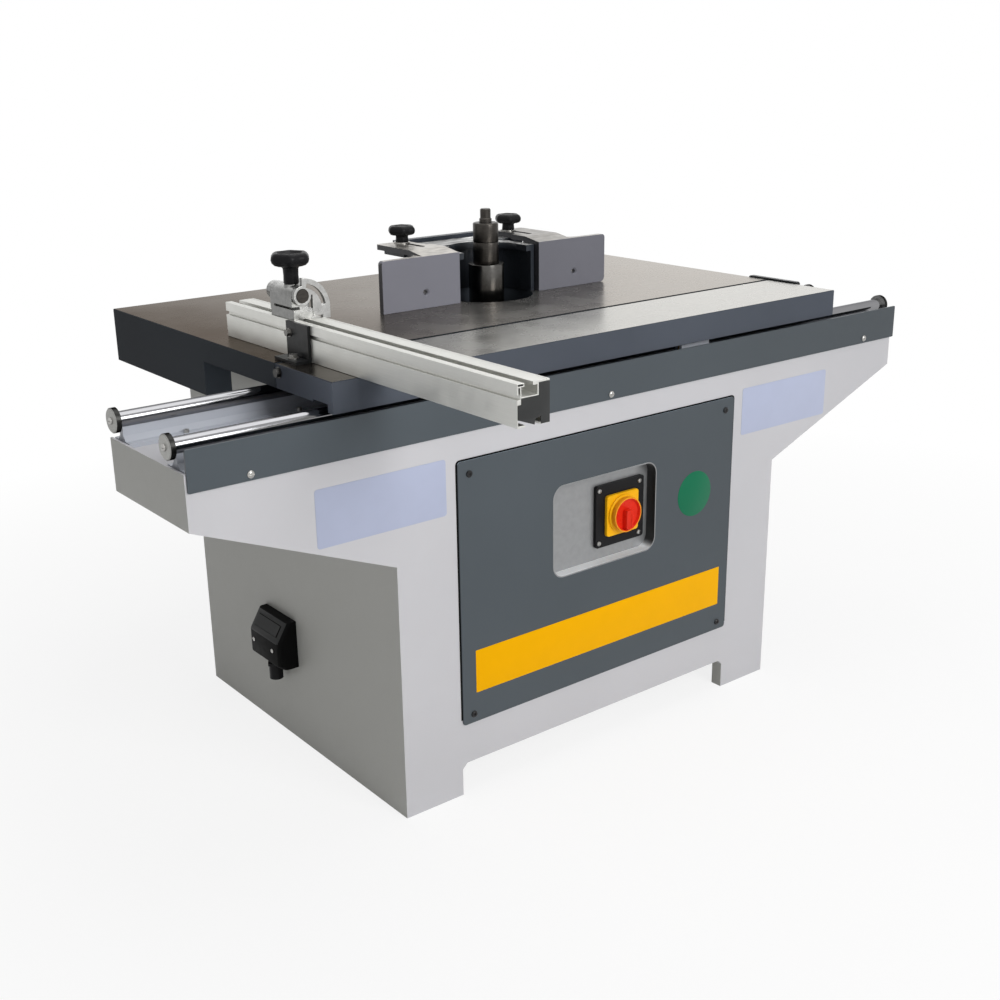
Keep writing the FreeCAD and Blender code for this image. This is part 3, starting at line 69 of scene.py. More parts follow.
lampLook = {
    "keyLamp": {"spot": (0.3, -4.2, 2.6), "aim": (0, 0, 0.5), "size": 2.2, "watts": 124},
    "topLamp": {"spot": (0.6, 0.2, 3.8), "aim": (0.1, 0, 0.7), "size": 3.0, "watts": 48},
    "sideLamp": {"spot": (-3.8, -0.6, 1.8), "aim": (0, 0, 0.5), "size": 2.4, "watts": 1},
    "backLamp": {"spot": (4.4, 3.0, 1.7), "aim": (0, 0, 0.6), "size": 2.4, "watts": 9},
}


def makeLamps(looks):
    for name, look in looks.items():
        data = bpy.data.lights.new(name, "AREA")
        data.shape = "SQUARE"
        data.size = look["size"]
        data.energy = look["watts"]
        lamp = bpy.data.objects.new(name, data)
        lamp.location = look["spot"]
        way = Vector(look["aim"]) - Vector(look["spot"])
        lamp.rotation_euler = way.to_track_quat("-Z", "Y").to_euler()
        scene.collection.objects.link(lamp)


backdropLook = {"white": (1, 1, 1, 1), "seen": 1.0, "fill": 0.22}


def makeBackdrop(look):
    world = bpy.data.worlds.new("backdrop")
    scene.world = world
    world.use_nodes = True
    tree = world.node_tree
    tree.nodes.clear()
    path = tree.nodes.new("ShaderNodeLightPath")
    glossy = tree.nodes.new("ShaderNodeMath")
    glossy.operation = "MAXIMUM"
    clear = tree.nodes.new("ShaderNodeMath")
    clear.operation = "MAXIMUM"
    fill = tree.nodes.new("ShaderNodeBackground")
    seen = tree.nodes.new("ShaderNodeBackground")
    mix = tree.nodes.new("ShaderNodeMixShader")
    output = tree.nodes.new("ShaderNodeOutputWorld")
    fill.inputs["Color"].default_value = look["white"]
    fill.inputs["Strength"].default_value = look["fill"]
    seen.inputs["Color"].default_value = look["white"]
    seen.inputs["Strength"].default_value = look["seen"]
    tree.links.new(path.outputs["Is Camera Ray"], glossy.inputs[0])
    tree.links.new(path.outputs["Is Glossy Ray"], glossy.inputs[1])
    tree.links.new(glossy.outputs[0], clear.inputs[0])
    tree.links.new(path.outputs["Is Transmission Ray"], clear.inputs[1])
    tree.links.new(clear.outputs[0], mix.inputs[0])
    tree.links.new(fill.outputs[0], mix.inputs[1])
    tree.links.new(seen.outputs[0], mix.inputs[2])
    tree.links.new(mix.outputs[0], output.inputs["Surface"])


makeCamera(cameraLook)
makeLamps(lampLook)
makeBackdrop(backdropLook)
scene.view_settings.view_transform = "Standard"
print("stage: camera and lamps")


# finishes: every one reads Object coordinates, so patterns have the real scale in metres

noiseMiddle = (0.3, 0.7)  # where most of a noise lies
squareOn = (-0.95, -0.8)  # cosines between which a face stops looking down an axis
levelUp = (0.94, 0.98)  # cosines between which a face becomes a level top
frontReach = (-0.75, 0.75)  # the front's left and right ends
seamLook = {"depth": -0.041, "shade": 0.03, "half": (0.0046, 0.0056)}


class Finish:
    def __init__(self, name):
        self.material = bpy.data.materials.new(name)
        self.material.use_nodes = True
        self.tree = self.material.node_tree
        self.tree.nodes.clear()
        self.output = self.add("ShaderNodeOutputMaterial")
        self.shader = self.add("ShaderNodeBsdfPrincipled")
        self.link(self.shader.outputs[0], self.output.inputs["Surface"])
        self.coords = self.add("ShaderNodeTexCoord").outputs["Object"]

    def add(self, kind, **settings):
        node = self.tree.nodes.new(kind)
        for key, value in settings.items():
            setattr(node, key, value)
        return node

    def link(self, source, target):
        self.tree.links.new(source, target)

    def set(self, **values):
        for key, value in values.items():
            self.shader.inputs[key.replace("_", " ")].default_value = value
        return self

    def noise(self, scale, detail=2.0, stretch=None, rough=0.5):
        texture = self.add("ShaderNodeTexNoise")
        texture.inputs["Scale"].default_value = scale
        texture.inputs["Detail"].default_value = detail
        texture.inputs["Roughness"].default_value = rough
        source = self.coords
        if stretch:
            mapping = self.add("ShaderNodeMapping")
            mapping.inputs["Scale"].default_value = stretch
            self.link(source, mapping.inputs["Vector"])
            source = mapping.outputs[0]
        self.link(source, texture.inputs["Vector"])
        return texture.outputs["Fac"]

    def ramp(self, source, stops):
        ramp = self.add("ShaderNodeValToRGB")
        points = ramp.color_ramp.elements
        while len(points) < len(stops):
            points.new(0.5)
        for point, (spot, colour) in zip(points, stops):
            point.position = spot
            point.color = (*colour, 1) if len(colour) == 3 else colour
        self.link(source, ramp.inputs["Fac"])
        return ramp.outputs["Color"]

    def span(self, source, low, high, start=0.0, end=1.0):
        mapped = self.add("ShaderNodeMapRange")
        mapped.inputs["From Min"].default_value = start
        mapped.inputs["From Max"].default_value = end
        mapped.inputs["To Min"].default_value = low
        mapped.inputs["To Max"].default_value = high
        self.link(source, mapped.inputs["Value"])
        return mapped.outputs["Result"]

    def mix(self, factor, first, second):
        mixed = self.add("ShaderNodeMix", data_type="RGBA")
        self.link(factor, mixed.inputs["Factor"])
        for source, target in ((first, mixed.inputs["A"]), (second, mixed.inputs["B"])):
            if isinstance(source, tuple):
                target.default_value = (*source, 1)
            else:
                self.link(source, target)
        return mixed.outputs["Result"]

    def tint(self, colour, amount):
        scaled = self.add("ShaderNodeVectorMath", operation="SCALE")
        self.link(colour, scaled.inputs[0])
        self.link(amount, scaled.inputs["Scale"])
        return scaled.outputs[0]

    def axis(self, letter):
        split = self.add("ShaderNodeSeparateXYZ")
        self.link(self.coords, split.inputs[0])
        return split.outputs[letter]

    def facing(self, letter):
        split = self.add("ShaderNodeSeparateXYZ")
        self.link(self.add("ShaderNodeNewGeometry").outputs["True Normal"], split.inputs[0])
        return split.outputs[letter]

    def reach(self, keep, middle):
        # distance from a point, along the axes that are kept
        away = self.add("ShaderNodeVectorMath", operation="MULTIPLY_ADD")
        self.link(self.coords, away.inputs[0])
        away.inputs[1].default_value = keep
        away.inputs[2].default_value = tuple(-spot * kept for spot, kept in zip(middle, keep))
        length = self.add("ShaderNodeVectorMath", operation="LENGTH")
        self.link(away.outputs[0], length.inputs[0])
        return length.outputs["Value"]

    def mottle(self, colour, drift, scale, stretch=None):
        # soft patches a little darker and lighter than the colour
        dark, light = shades(colour, 1 - drift, 1 + drift)
        return self.ramp(self.noise(scale, 4, stretch), [(0.35, dark), (0.65, light)])

    def smudge(self, limits, scale, detail):
        # gloss that wanders between two roughness values
        return self.span(self.noise(scale, detail), *limits, *noiseMiddle)

    def squareTo(self, letter, there, elsewhere):
        # one value on faces that look down the axis, another on the rest
        return self.span(self.facing(letter), there, elsewhere, *squareOn)

    def levelTop(self):
        return self.span(self.facing("Z"), 0, 1, *levelUp)

    def colour(self, source):
        self.link(source, self.shader.inputs["Base Color"])

    def gloss(self, source):
        self.link(source, self.shader.inputs["Roughness"])

    def bump(self, source, depth, strength=1.0):
        bump = self.add("ShaderNodeBump")
        bump.inputs["Strength"].default_value = strength
        bump.inputs["Distance"].default_value = depth
        self.link(source, bump.inputs["Height"])
        self.link(bump.outputs[0], self.shader.inputs["Normal"])


def shades(colour, low, high):
    return tuple(c * low for c in colour), tuple(min(c * high, 1) for c in colour)


def powderPaint(name, look):
    # sprayed paint: orange peel, faint drift of shade, slightly uneven gloss, and painted light and shade on
    # some faces
    finish = Finish(name)
    colour = finish.mottle(look["colour"], look["drift"], 3.5)
    # painted shade: faces looking left take a darker colour
    if "left" in look:
        colour = finish.mix(finish.squareTo("X", 1, 0), colour, look["left"])
    # painted light and shade across the length, lighter at the left and darker at the right
    if "shadeAcross" in look:
        colour = finish.tint(colour, finish.span(finish.axis("X"), *look["shadeAcross"], *frontReach))
    # painted highlight: faces looking up are made lighter
    if "up" in look:
        colour = finish.tint(colour, finish.span(finish.facing("Z"), 1, look["up"], 0.2, 0.6))
    finish.colour(colour)
    finish.gloss(finish.smudge(look["gloss"], 60, 3))
    finish.bump(finish.noise(look["peel"], 2), look["depth"], 0.5)
    return finish.set(IOR=1.5, Specular_IOR_Level=look.get("shine", 0.5)).material


def turnedMetal(name, look):
    # machined metal: fine lines along or round the part, smudged gloss, tints on faces looking left or up,
    # and painted shade below a given height
    finish = Finish(name)
    lines = finish.noise(look["lines"], 3, look["stretch"])
    dark, light = shades(look["colour"], 1 - look["drift"], 1 + look["drift"])
    colour = finish.ramp(lines, [(0.3, dark), (0.7, light)])
    # painted shade on faces looking left and a painted highlight on faces looking up; on the rail caps the
    # same tint makes the turned end faces looking left bright against the black rim
    if "left" in look:
        colour = finish.tint(colour, finish.span(finish.facing("X"), look["left"], 1, -0.9, -0.4))
        colour = finish.tint(colour, finish.span(finish.facing("Z"), 1, look["up"], 0.4, 0.9))
    # painted shade: darker below a given height
    if "shadeBelow" in look:
        level, amount = look["shadeBelow"]
        colour = finish.tint(colour, finish.span(finish.axis("Z"), amount, 1, level - 0.001, level))
    finish.colour(colour)
    finish.gloss(finish.smudge(look["gloss"], 35, 4))
    finish.bump(lines, look["depth"], 0.4)
    return finish.set(Metallic=look["metal"], Specular_Tint=(*look.get("edge", (1, 1, 1)), 1)).material


def mouldedPlastic(name, look):
    # plastic, film or rubber with a fine grain
    finish = Finish(name)
    finish.colour(finish.mottle(look["colour"], look.get("drift", 0.06), 25))
    finish.gloss(finish.smudge(look["gloss"], 120, 3))
    finish.bump(finish.noise(look["grain"], 2), look["depth"], 0.4)
    return finish.set(IOR=1.48, Specular_IOR_Level=look.get("shine", 0.5)).material


def groundCasting(name, look):
    # painted casting whose level top faces are ground bare; painted shade on faces looking left, painted
    # light and shade across the length, painted shade inside the bore and a painted highlight on the bare
    # top towards the right
    finish = Finish(name)
    bare = finish.levelTop()
    paint = finish.mottle(look["colour"], look["drift"], 3.5)
    # painted shade: faces looking left made darker
    paint = finish.tint(paint, finish.squareTo("X", look["ends"], 1))
    iron = finish.mottle(look["iron"], look["patch"], look["patches"], (1, 3, 1))
    # painted light and shade across the length, on the paint and on the bare iron
    if "shadeAcross" in look:
        paint = finish.tint(paint, finish.span(finish.axis("X"), *look["shadeAcross"], 0, 0.15))
        iron = finish.tint(iron, finish.span(finish.axis("X"), *look["ironShadeAcross"], 0, 0.15))
    # painted shade inside the bore, and a painted highlight on the bare top towards the right
    if "bore" in look:
        bore = look["bore"]
        depth = finish.reach((1, 1, 0), bore["middle"])
        wall = (bore["radius"], bore["radius"] + 0.002)
        paint = finish.tint(paint, finish.span(depth, bore["shade"], 1, *wall))
        iron = finish.tint(iron, finish.span(finish.axis("X"), 1, look["topHighlight"], 0.06, 0.19))
    finish.colour(finish.mix(bare, paint, iron))
    finish.link(bare, finish.shader.inputs["Metallic"])
    finish.gloss(finish.smudge(look["gloss"], 60, 3))
    finish.bump(finish.noise(look["peel"], 2), look["depth"], 0.4)
    return finish.set(Specular_IOR_Level=look["shine"]).material


def groundTable(name, look):
    # ground iron on top, dark brown at the left end and bright towards the right, partly patina and partly a
    # painted reflection; paint on every other face, with painted light on the front faces and painted light
    # and shade on the left end faces
    finish = Finish(name)
    top = finish.levelTop()
    grind = finish.noise(look["lines"], 4, look["stretch"], 0.6)
    cloud = finish.noise(3.0, 5)
    # shade along the length, dark brown at the left end to bright at the right: partly patina, partly a
    # painted reflection
    along = finish.span(finish.axis("X"), 0, 1, *look["length"])
    shifted = finish.add("ShaderNodeMath", operation="ADD")
    finish.link(along, shifted.inputs[0])
    finish.link(finish.span(cloud, -look["ragged"], look["ragged"], 0.2, 0.8), shifted.inputs[1])
    iron = finish.tint(finish.ramp(shifted.outputs[0], look["iron"]),
                       finish.span(grind, 0.85, 1.15, *noiseMiddle))
    fromSeam = finish.reach((0, 1, 0), (0, seamLook["depth"], 0))
    seam = finish.span(fromSeam, seamLook["shade"], 1, *seamLook["half"])  # dark joint between the tables
    iron = finish.tint(iron, seam)
    edge = finish.add("ShaderNodeRGB")
    edge.outputs[0].default_value = (*look["edge"], 1)
    finish.link(finish.tint(edge.outputs[0], seam), finish.shader.inputs["Specular Tint"])
    # painted light: faces looking to the front made lighter
    paint = finish.tint(finish.mottle(look["paint"], 0.06, 3.5), finish.squareTo("Y", look["front"], 1))
    # painted light and shade on faces looking left, graded from front to back
    endLightAndShade = finish.tint(paint, finish.span(finish.axis("Y"), *look["end"], *look["endReach"]))
    paint = finish.mix(finish.squareTo("X", 1, 0), paint, endLightAndShade)
    finish.colour(finish.mix(top, paint, iron))
    finish.link(top, finish.shader.inputs["Metallic"])
    gloss = finish.add("ShaderNodeMix", data_type="FLOAT")
    finish.link(top, gloss.inputs["Factor"])
    gloss.inputs["A"].default_value = look["paintGloss"]
    finish.link(finish.smudge(look["gloss"], 14, 5), gloss.inputs["B"])
    finish.gloss(gloss.outputs["Result"])
    finish.bump(grind, look["depth"], 0.25)
    return finish.set(Specular_IOR_Level=look["shine"]).material


# tints on faces looking left, up or to the front, on left ends, across the length, inside the bore, on the
# bare top's right side and below a height are painted light and shade; the table irons' shade along their
# length is partly patina and partly a painted reflection
finishLooks = {
    "greyPaint": (powderPaint, {
        "colour": (0.588, 0.584, 0.606), "drift": 0.02, "gloss": (0.38, 0.48), "peel": 420,
        "depth": 0.00012, "shine": 0.2, "left": (0.535, 0.535, 0.505), "shadeAcross": (1.03, 0.93)}),
    "slatePaint": (powderPaint, {
        "colour": (0.066, 0.080, 0.092), "drift": 0.04, "gloss": (0.32, 0.42), "peel": 420,
        "depth": 0.00012, "shine": 0.3, "shadeAcross": (1.14, 0.8)}),
    "panelPaint": (powderPaint, {
        "colour": (0.066, 0.080, 0.092), "drift": 0.04, "gloss": (0.32, 0.42), "peel": 420,
        "depth": 0.00012, "shine": 0.3, "shadeAcross": (1.14, 0.8), "up": 5}),
    "blackSteel": (powderPaint, {
        "colour": (0.012, 0.012, 0.013), "drift": 0.1, "gloss": (0.2, 0.3), "peel": 300, "depth": 0.00005,
        "shine": 0.3}),
    "hoodPaint": (powderPaint, {
        "colour": (0.024, 0.030, 0.042), "drift": 0.1, "gloss": (0.3, 0.45), "peel": 260, "depth": 0.0004,
        "shine": 0.4}),
    "blackPaint": (powderPaint, {
        "colour": (0.012, 0.013, 0.014), "drift": 0.1, "gloss": (0.3, 0.42), "peel": 300, "depth": 0.0002,
        "shine": 0.2}),
    "fencePaint": (groundCasting, {
        "colour": (0.155, 0.156, 0.182), "drift": 0.05, "gloss": (0.28, 0.4), "iron": (0.42, 0.40, 0.37),
        "patch": 0.2, "patches": 40, "peel": 300, "depth": 0.0002, "shine": 0.3, "ends": 0.2,
        "shadeAcross": (1.25, 0.93), "ironShadeAcross": (1.15, 0.72)}),
    "hoodCasting": (groundCasting, {
        "colour": (0.032, 0.038, 0.048), "drift": 0.1, "gloss": (0.28, 0.4), "iron": (0.25, 0.25, 0.245),
        "patch": 0.7, "patches": 26, "topHighlight": 3.6, "peel": 260, "depth": 0.0004, "shine": 0.3,
        "ends": 0.6, "bore": {"middle": (0.072, 0.2245, 0), "radius": 0.1035, "shade": 0.8}}),
    "fixedIron": (groundTable, {
        "iron": [(0, (0.10, 0.078, 0.064)), (0.4, (0.50, 0.49, 0.475)), (1, (0.60, 0.60, 0.59))],
        "length": (-0.56, 0.61), "ragged": 0.1, "lines": 40, "stretch": (2, 60, 8),
        "gloss": (0.24, 0.3), "depth": 0.00002, "edge": (0.52, 0.49, 0.46),
        "paint": (0.036, 0.042, 0.050), "front": 3.0, "paintGloss": 0.5, "shine": 0.03,
        "end": (1.0, 0.68), "endReach": (0.22, 0.5)}),
    "slidingIron": (groundTable, {
        "iron": [(0, (0.10, 0.082, 0.07)), (0.3, (0.58, 0.58, 0.565)), (1, (0.68, 0.68, 0.67))],
        "length": (-0.56, 0.61), "ragged": 0.1, "lines": 40, "stretch": (2, 60, 8),
        "gloss": (0.24, 0.3), "depth": 0.00002, "edge": (0.62, 0.61, 0.59),
        "paint": (0.064, 0.072, 0.088), "front": 1.32, "paintGloss": 0.5, "shine": 0.03,
        "end": (3.4, 1.3), "endReach": (-0.25, -0.08)}),
    "castIron": (powderPaint, {
        "colour": (0.12, 0.12, 0.125), "drift": 0.12, "gloss": (0.5, 0.65), "peel": 500, "depth": 0.0005}),
    "polishedSteel": (turnedMetal, {
        "colour": (0.27, 0.27, 0.28), "drift": 0.08, "metal": 1.0, "lines": 60, "stretch": (0.5, 30, 30),
        "gloss": (0.08, 0.14), "edge": (0.45, 0.45, 0.46), "depth": 0.00001}),
    "capSteel": (turnedMetal, {
        "colour": (0.03, 0.03, 0.029), "drift": 0.2, "metal": 1.0, "lines": 90, "left": 15, "up": 1,
        "stretch": (1, 8, 8), "gloss": (0.3, 0.42), "edge": (0.3, 0.3, 0.3), "depth": 0.00003}),
    "darkSteel": (turnedMetal, {
        "colour": (0.05, 0.046, 0.042), "drift": 0.3, "metal": 1.0, "lines": 60, "stretch": (2, 2, 40),
        "gloss": (0.28, 0.4), "depth": 0.00003}),
    "brightSteel": (turnedMetal, {
        "colour": (0.34, 0.33, 0.32), "drift": 0.15, "metal": 1.0, "lines": 60, "stretch": (3, 3, 30),
        "gloss": (0.16, 0.3), "depth": 0.00003}),
    "collarSteel": (turnedMetal, {
        "colour": (0.095, 0.092, 0.087), "drift": 0.3, "metal": 1.0, "lines": 60, "stretch": (3, 3, 30),
        "gloss": (0.16, 0.28), "depth": 0.00003}),
    "zinc": (turnedMetal, {
        "colour": (0.40, 0.395, 0.38), "drift": 0.15, "metal": 1.0, "lines": 200, "stretch": (1, 1, 1),
        "gloss": (0.22, 0.36), "depth": 0.00003}),
    "bracketZinc": (turnedMetal, {
        "colour": (0.42, 0.41, 0.39), "drift": 0.15, "metal": 1.0, "lines": 200, "stretch": (1, 1, 1),
        "gloss": (0.22, 0.36), "left": 0.35, "up": 1.2, "shadeBelow": (0.772, 0.2), "depth": 0.00003}),
    "supportAluminium": (powderPaint, {
        "colour": (0.52, 0.545, 0.60), "drift": 0.03, "gloss": (0.34, 0.46), "peel": 200,
        "depth": 0.00005, "shine": 0.4}),
    "aluminium": (turnedMetal, {
        "colour": (0.63, 0.63, 0.60), "drift": 0.05, "metal": 0.9, "lines": 60, "stretch": (60, 0.6, 60),
        "gloss": (0.36, 0.48), "depth": 0.00002}),
    "castAluminium": (turnedMetal, {
        "colour": (0.44, 0.44, 0.43), "drift": 0.14, "metal": 1.0, "left": 0.45, "up": 1.5, "lines": 160,
        "stretch": (1, 1, 1), "gloss": (0.24, 0.36), "depth": 0.00008}),
    "blackPlastic": (mouldedPlastic, {
        "colour": (0.011, 0.011, 0.012), "gloss": (0.3, 0.42), "grain": 900, "depth": 0.00008,
        "shine": 0.1}),
    "inletPlastic": (mouldedPlastic, {
        "colour": (0.006, 0.006, 0.006), "gloss": (0.4, 0.5), "grain": 900, "depth": 0.00008,
        "shine": 0.03}),
    "greyPlastic": (mouldedPlastic, {
        "colour": (0.045, 0.046, 0.046), "gloss": (0.35, 0.45), "grain": 900, "depth": 0.00008,
        "shine": 0.1}),
    "yellowPlastic": (mouldedPlastic, {
        "colour": (0.96, 0.485, 0.006), "gloss": (0.28, 0.36), "grain": 700, "depth": 0.00004,
        "shine": 0.12}),
    "redPlastic": (mouldedPlastic, {
        "colour": (0.76, 0.028, 0.010), "gloss": (0.25, 0.35), "grain": 700, "depth": 0.00004,
        "shine": 0.12}),
    "orangePlastic": (mouldedPlastic, {
        "colour": (0.90, 0.34, 0.012), "gloss": (0.25, 0.35), "grain": 700, "depth": 0.00004,
        "shine": 0.2}),
    "yellowFilm": (mouldedPlastic, {
        "drift": 0.012, "colour": (0.94, 0.455, 0.001), "gloss": (0.36, 0.42), "grain": 300,
        "depth": 0.00002, "shine": 0.03}),
    "paleFilm": (mouldedPlastic, {
        "drift": 0.012, "colour": (0.45, 0.49, 0.64), "gloss": (0.36, 0.42), "grain": 300,
        "depth": 0.00002, "shine": 0.3}),
    "greenFilm": (mouldedPlastic, {
        "drift": 0.012, "colour": (0.010, 0.155, 0.075), "gloss": (0.36, 0.42), "grain": 300,
        "depth": 0.00002, "shine": 0.12}),
    "beltRubber": (mouldedPlastic, {
        "colour": (0.015, 0.015, 0.015), "gloss": (0.6, 0.75), "grain": 500, "depth": 0.0002}),
    "bronze": (turnedMetal, {
        "colour": (0.5, 0.34, 0.14), "drift": 0.1, "metal": 1.0, "lines": 120, "stretch": (20, 1, 1),
        "gloss": (0.3, 0.42), "depth": 0.00003}),
    "recessSheet": (turnedMetal, {
        "colour": (0.29, 0.295, 0.30), "drift": 0.05, "metal": 0.55, "left": 0.12, "up": 3.4, "lines": 80,
        "stretch": (1, 8, 1), "gloss": (0.35, 0.5), "depth": 0.00003}),
}
finishes = {name: maker(name, look) for name, (maker, look) in finishLooks.items()}
print("stage: finishes", len(finishes))

nodeFinish = {
    "greyPaint": ("front_sheet", "left_sheet", "right_sheet", "back_sheet", "left_wing", "right_wing",
                  "rail_bed"),
    "slatePaint": ("rail_guard",),
    "panelPaint": ("front_panel",),
    "blackSteel": ("panel_screws",),
    "hoodPaint": ("motor", "tie_bar"),
    "hoodCasting": ("hood",),
    "blackPaint": ("crosscut_bracket", "table_end_stop"),
    "fencePaint": ("left_fence", "right_fence"),
    "fixedIron": ("fixed_table",),
    "slidingIron": ("sliding_table",),
    "castIron": ("lift_carriage", "motor_pulley", "screw_plate", "handwheel"),
    "polishedSteel": ("rails", "guide_columns"),
    "capSteel": ("rail_caps",),
    "darkSteel": ("spindle_shaft", "spacer_collar", "clamp_nut", "stop_pin"),
    "brightSteel": ("spindle_pulley", "spindle_bearings", "motor_shaft", "lift_screw", "handwheel_shaft"),
    "collarSteel": ("lower_collar",),
    "zinc": ("support_screws", "pan_screws", "hex_bolts", "clamp_washers"),
    "bracketZinc": ("bracket_bolts",),
    "supportAluminium": ("rail_supports", "saddles"),
    "aluminium": ("crosscut_fence",),
    "castAluminium": ("stop_body", "stop_arm"),
    "blackPlastic": ("switch_plate", "switch_body", "inlet_box", "cable_gland", "left_clamp_knob",
                     "right_clamp_knob", "stop_knob", "wheel_handle"),
    "yellowPlastic": ("switch_surround",),
    "redPlastic": ("switch_handle",),
    "beltRubber": ("drive_belt",),
    "bronze": ("shaft_bush", "rail_bushes"),
    "recessSheet": ("recess_box",),
}
softEdge = {"fixed_table": 0.0004, "sliding_table": 0.0004, "hood": 0.003, "left_fence": 0.0015,
            "right_fence": 0.0015, "stop_body": 0.0015, "stop_arm": 0.0008, "front_panel": 0.0006,
            "rail_guard": 0.0006, "crosscut_fence": 0.0005, "switch_plate": 0.0012, "lower_collar": 0.001,
            "spacer_collar": 0.0008, "clamp_nut": 0.001, "tie_bar": 0.0015}


def dressNodes():
    for finishName, names in nodeFinish.items():
        for name in names:
            node = nodes[name]
            node.data.materials.clear()
            node.data.materials.append(finishes[finishName])
            if name in softEdge:
                weld = node.modifiers.new("joinTriangles", "WELD")
                weld.merge_threshold = 0.00002
                edge = node.modifiers.new("softEdge", "BEVEL")
                edge.width = softEdge[name]
                edge.segments = 2
                edge.limit_method = "ANGLE"
                edge.angle_limit = math.radians(35)
                edge.harden_normals = True


dressNodes()
print("stage: CAD nodes dressed")

# modelling helpers, sizes in millimetres

def clearSelection():
    active = bpy.context.view_layer.objects.active
    if active and active.mode != "OBJECT":
        bpy.ops.object.mode_set(mode="OBJECT")
    bpy.ops.object.select_all(action="DESELECT")


def newBlock(name, low, high):
    clearSelection()
    low, high = place(*low), place(*high)
    bpy.ops.mesh.primitive_cube_add(size=1, location=(low + high) / 2)
    piece = bpy.context.object
    piece.name = name
    piece.scale = high - low
    bpy.ops.object.transform_apply(location=True, rotation=True, scale=True)
    return piece


def pick(piece, kind, test):
    # selects the faces, edges or corners whose place and direction pass the test
    bpy.ops.object.mode_set(mode="EDIT")
    bpy.ops.mesh.select_mode(type=kind)
    bpy.ops.mesh.select_all(action="DESELECT")
    mesh = bmesh.from_edit_mesh(piece.data)
    if kind == "FACE":
        for face in mesh.faces:
            face.select_set(bool(test(face.calc_center_median(), face.normal)))
    elif kind == "EDGE":
        for edge in mesh.edges:
            ends = [vert.co for vert in edge.verts]
            edge.select_set(bool(test((ends[0] + ends[1]) / 2, (ends[1] - ends[0]).normalized())))
    else:
        for vert in mesh.verts:
            vert.select_set(bool(test(vert.co, vert.normal)))
    mesh.select_flush_mode()
    bmesh.update_edit_mesh(piece.data)


def bevelEdges(piece, test, width, segments=2):
    pick(piece, "EDGE", test)
    bpy.ops.mesh.bevel(offset=width / 1000, segments=segments, profile=0.5, affect="EDGES")


def drawLine(name, spots):
    # a line drawn vertex by vertex, left in edit mode
    clearSelection()
    bpy.ops.mesh.primitive_plane_add(size=0.001, location=spots[0])
    piece = bpy.context.object
    piece.name = name
    bpy.ops.object.transform_apply(location=True, rotation=True, scale=True)
    bpy.ops.object.mode_set(mode="EDIT")
    bpy.ops.mesh.select_mode(type="VERT")
    bpy.ops.mesh.select_all(action="SELECT")
    bpy.ops.mesh.merge(type="CENTER")
    for before, after in zip(spots, spots[1:]):
        bpy.ops.mesh.extrude_region_move(TRANSFORM_OT_translate={"value": after - before})
    bpy.ops.mesh.select_all(action="SELECT")
    return piece


def turned(name, profile, foot, way, steps=64):
    # a line of (radius, height) points spun round the axis
    way = Vector(way)
    side = way.orthogonal().normalized()
    foot = place(*foot)
    piece = drawLine(name, [foot + side * (radius / 1000) + way * (height / 1000)
                            for radius, height in profile])
    bpy.ops.mesh.spin(steps=steps, angle=math.tau, center=foot, axis=way)
    bpy.ops.mesh.select_all(action="SELECT")
    bpy.ops.mesh.remove_doubles(threshold=0.00002)
    bpy.ops.mesh.normals_make_consistent(inside=False)
    return piece


def cutWith(piece, cutter):
    # takes the cutter's shape out of the piece
    clearSelection()
    bpy.context.view_layer.objects.active = piece
    cut = piece.modifiers.new("cut", "BOOLEAN")
    cut.operation = "DIFFERENCE"
    cut.solver = "EXACT"
    cut.object = cutter
    bpy.ops.object.modifier_apply(modifier=cut.name)
    bpy.data.objects.remove(cutter)


def joinPieces(name, parts):
    clearSelection()
    for part in parts:
        part.select_set(True)
    bpy.context.view_layer.objects.active = parts[0]
    if len(parts) > 1:
        bpy.ops.object.join()
    parts[0].name = name
    return parts[0]


def copyTo(piece, name, shift):
    # a copy with a mesh of its own, moved by millimetres
    twin = piece.copy()
    twin.data = piece.data.copy()
    twin.name = name
    scene.collection.objects.link(twin)
    twin.data.transform(Matrix.Translation(Vector(shift) / 1000))
    return twin


def giveFinishes(piece, finishNames):
    for finishName in finishNames:
        piece.data.materials.append(finishes[finishName])


def finishPiece(piece, finishNames, body, replaced=(), smooth=35):
    # smooth shading, finishes, then the body that it rides on
    clearSelection()
    piece.select_set(True)
    bpy.context.view_layer.objects.active = piece
    bpy.ops.object.shade_smooth_by_angle(angle=math.radians(smooth))
    giveFinishes(piece, finishNames)
    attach(piece, body)
    if replaced:
        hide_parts(*replaced)
    return piece


def paintFaces(piece, test, index):
    # gives the picked faces the finish in that place of the list
    pick(piece, "FACE", test)
    piece.active_material_index = index
    bpy.ops.object.material_slot_assign()


# lobed knobs

clampKnobLook = {"lobes": 6, "gap": 3.4, "reach": 14, "rim": 21, "foot": 882.9,
                 "spots": {"left": (-61.5, 536), "right": (205.5, 536)},
                 "profile": [(0, -26), (4.9, -26), (4.9, 0), (12.2, 0), (13, 1.3), (12.7, 7.4), (13, 11),
                             (15.8, 12.9), (21.1, 13.5), (24.9, 15), (27.2, 17.9), (28, 21.6), (27.4, 25.7),
                             (25.1, 29.3), (21.6, 31.2), (17.9, 31.5), (15, 30.6), (12.7, 29.9), (0, 29.5)]}
stopKnobLook = {"lobes": 6, "gap": 3.4, "reach": 16, "rim": 26, "spot": (-491, 220), "foot": 888.4,
                "profile": [(0, -11), (4.9, -11), (4.9, 0), (11.6, 0), (12.5, 1.5), (12, 13), (12.5, 24),
                            (15, 27), (22, 28.2), (28, 30.2), (31.6, 34), (33, 39), (32.2, 43.6),
                            (29.6, 47.4), (26.4, 49.4), (23.4, 49.2), (20.5, 46.8), (15, 44.6), (0, 44)]}


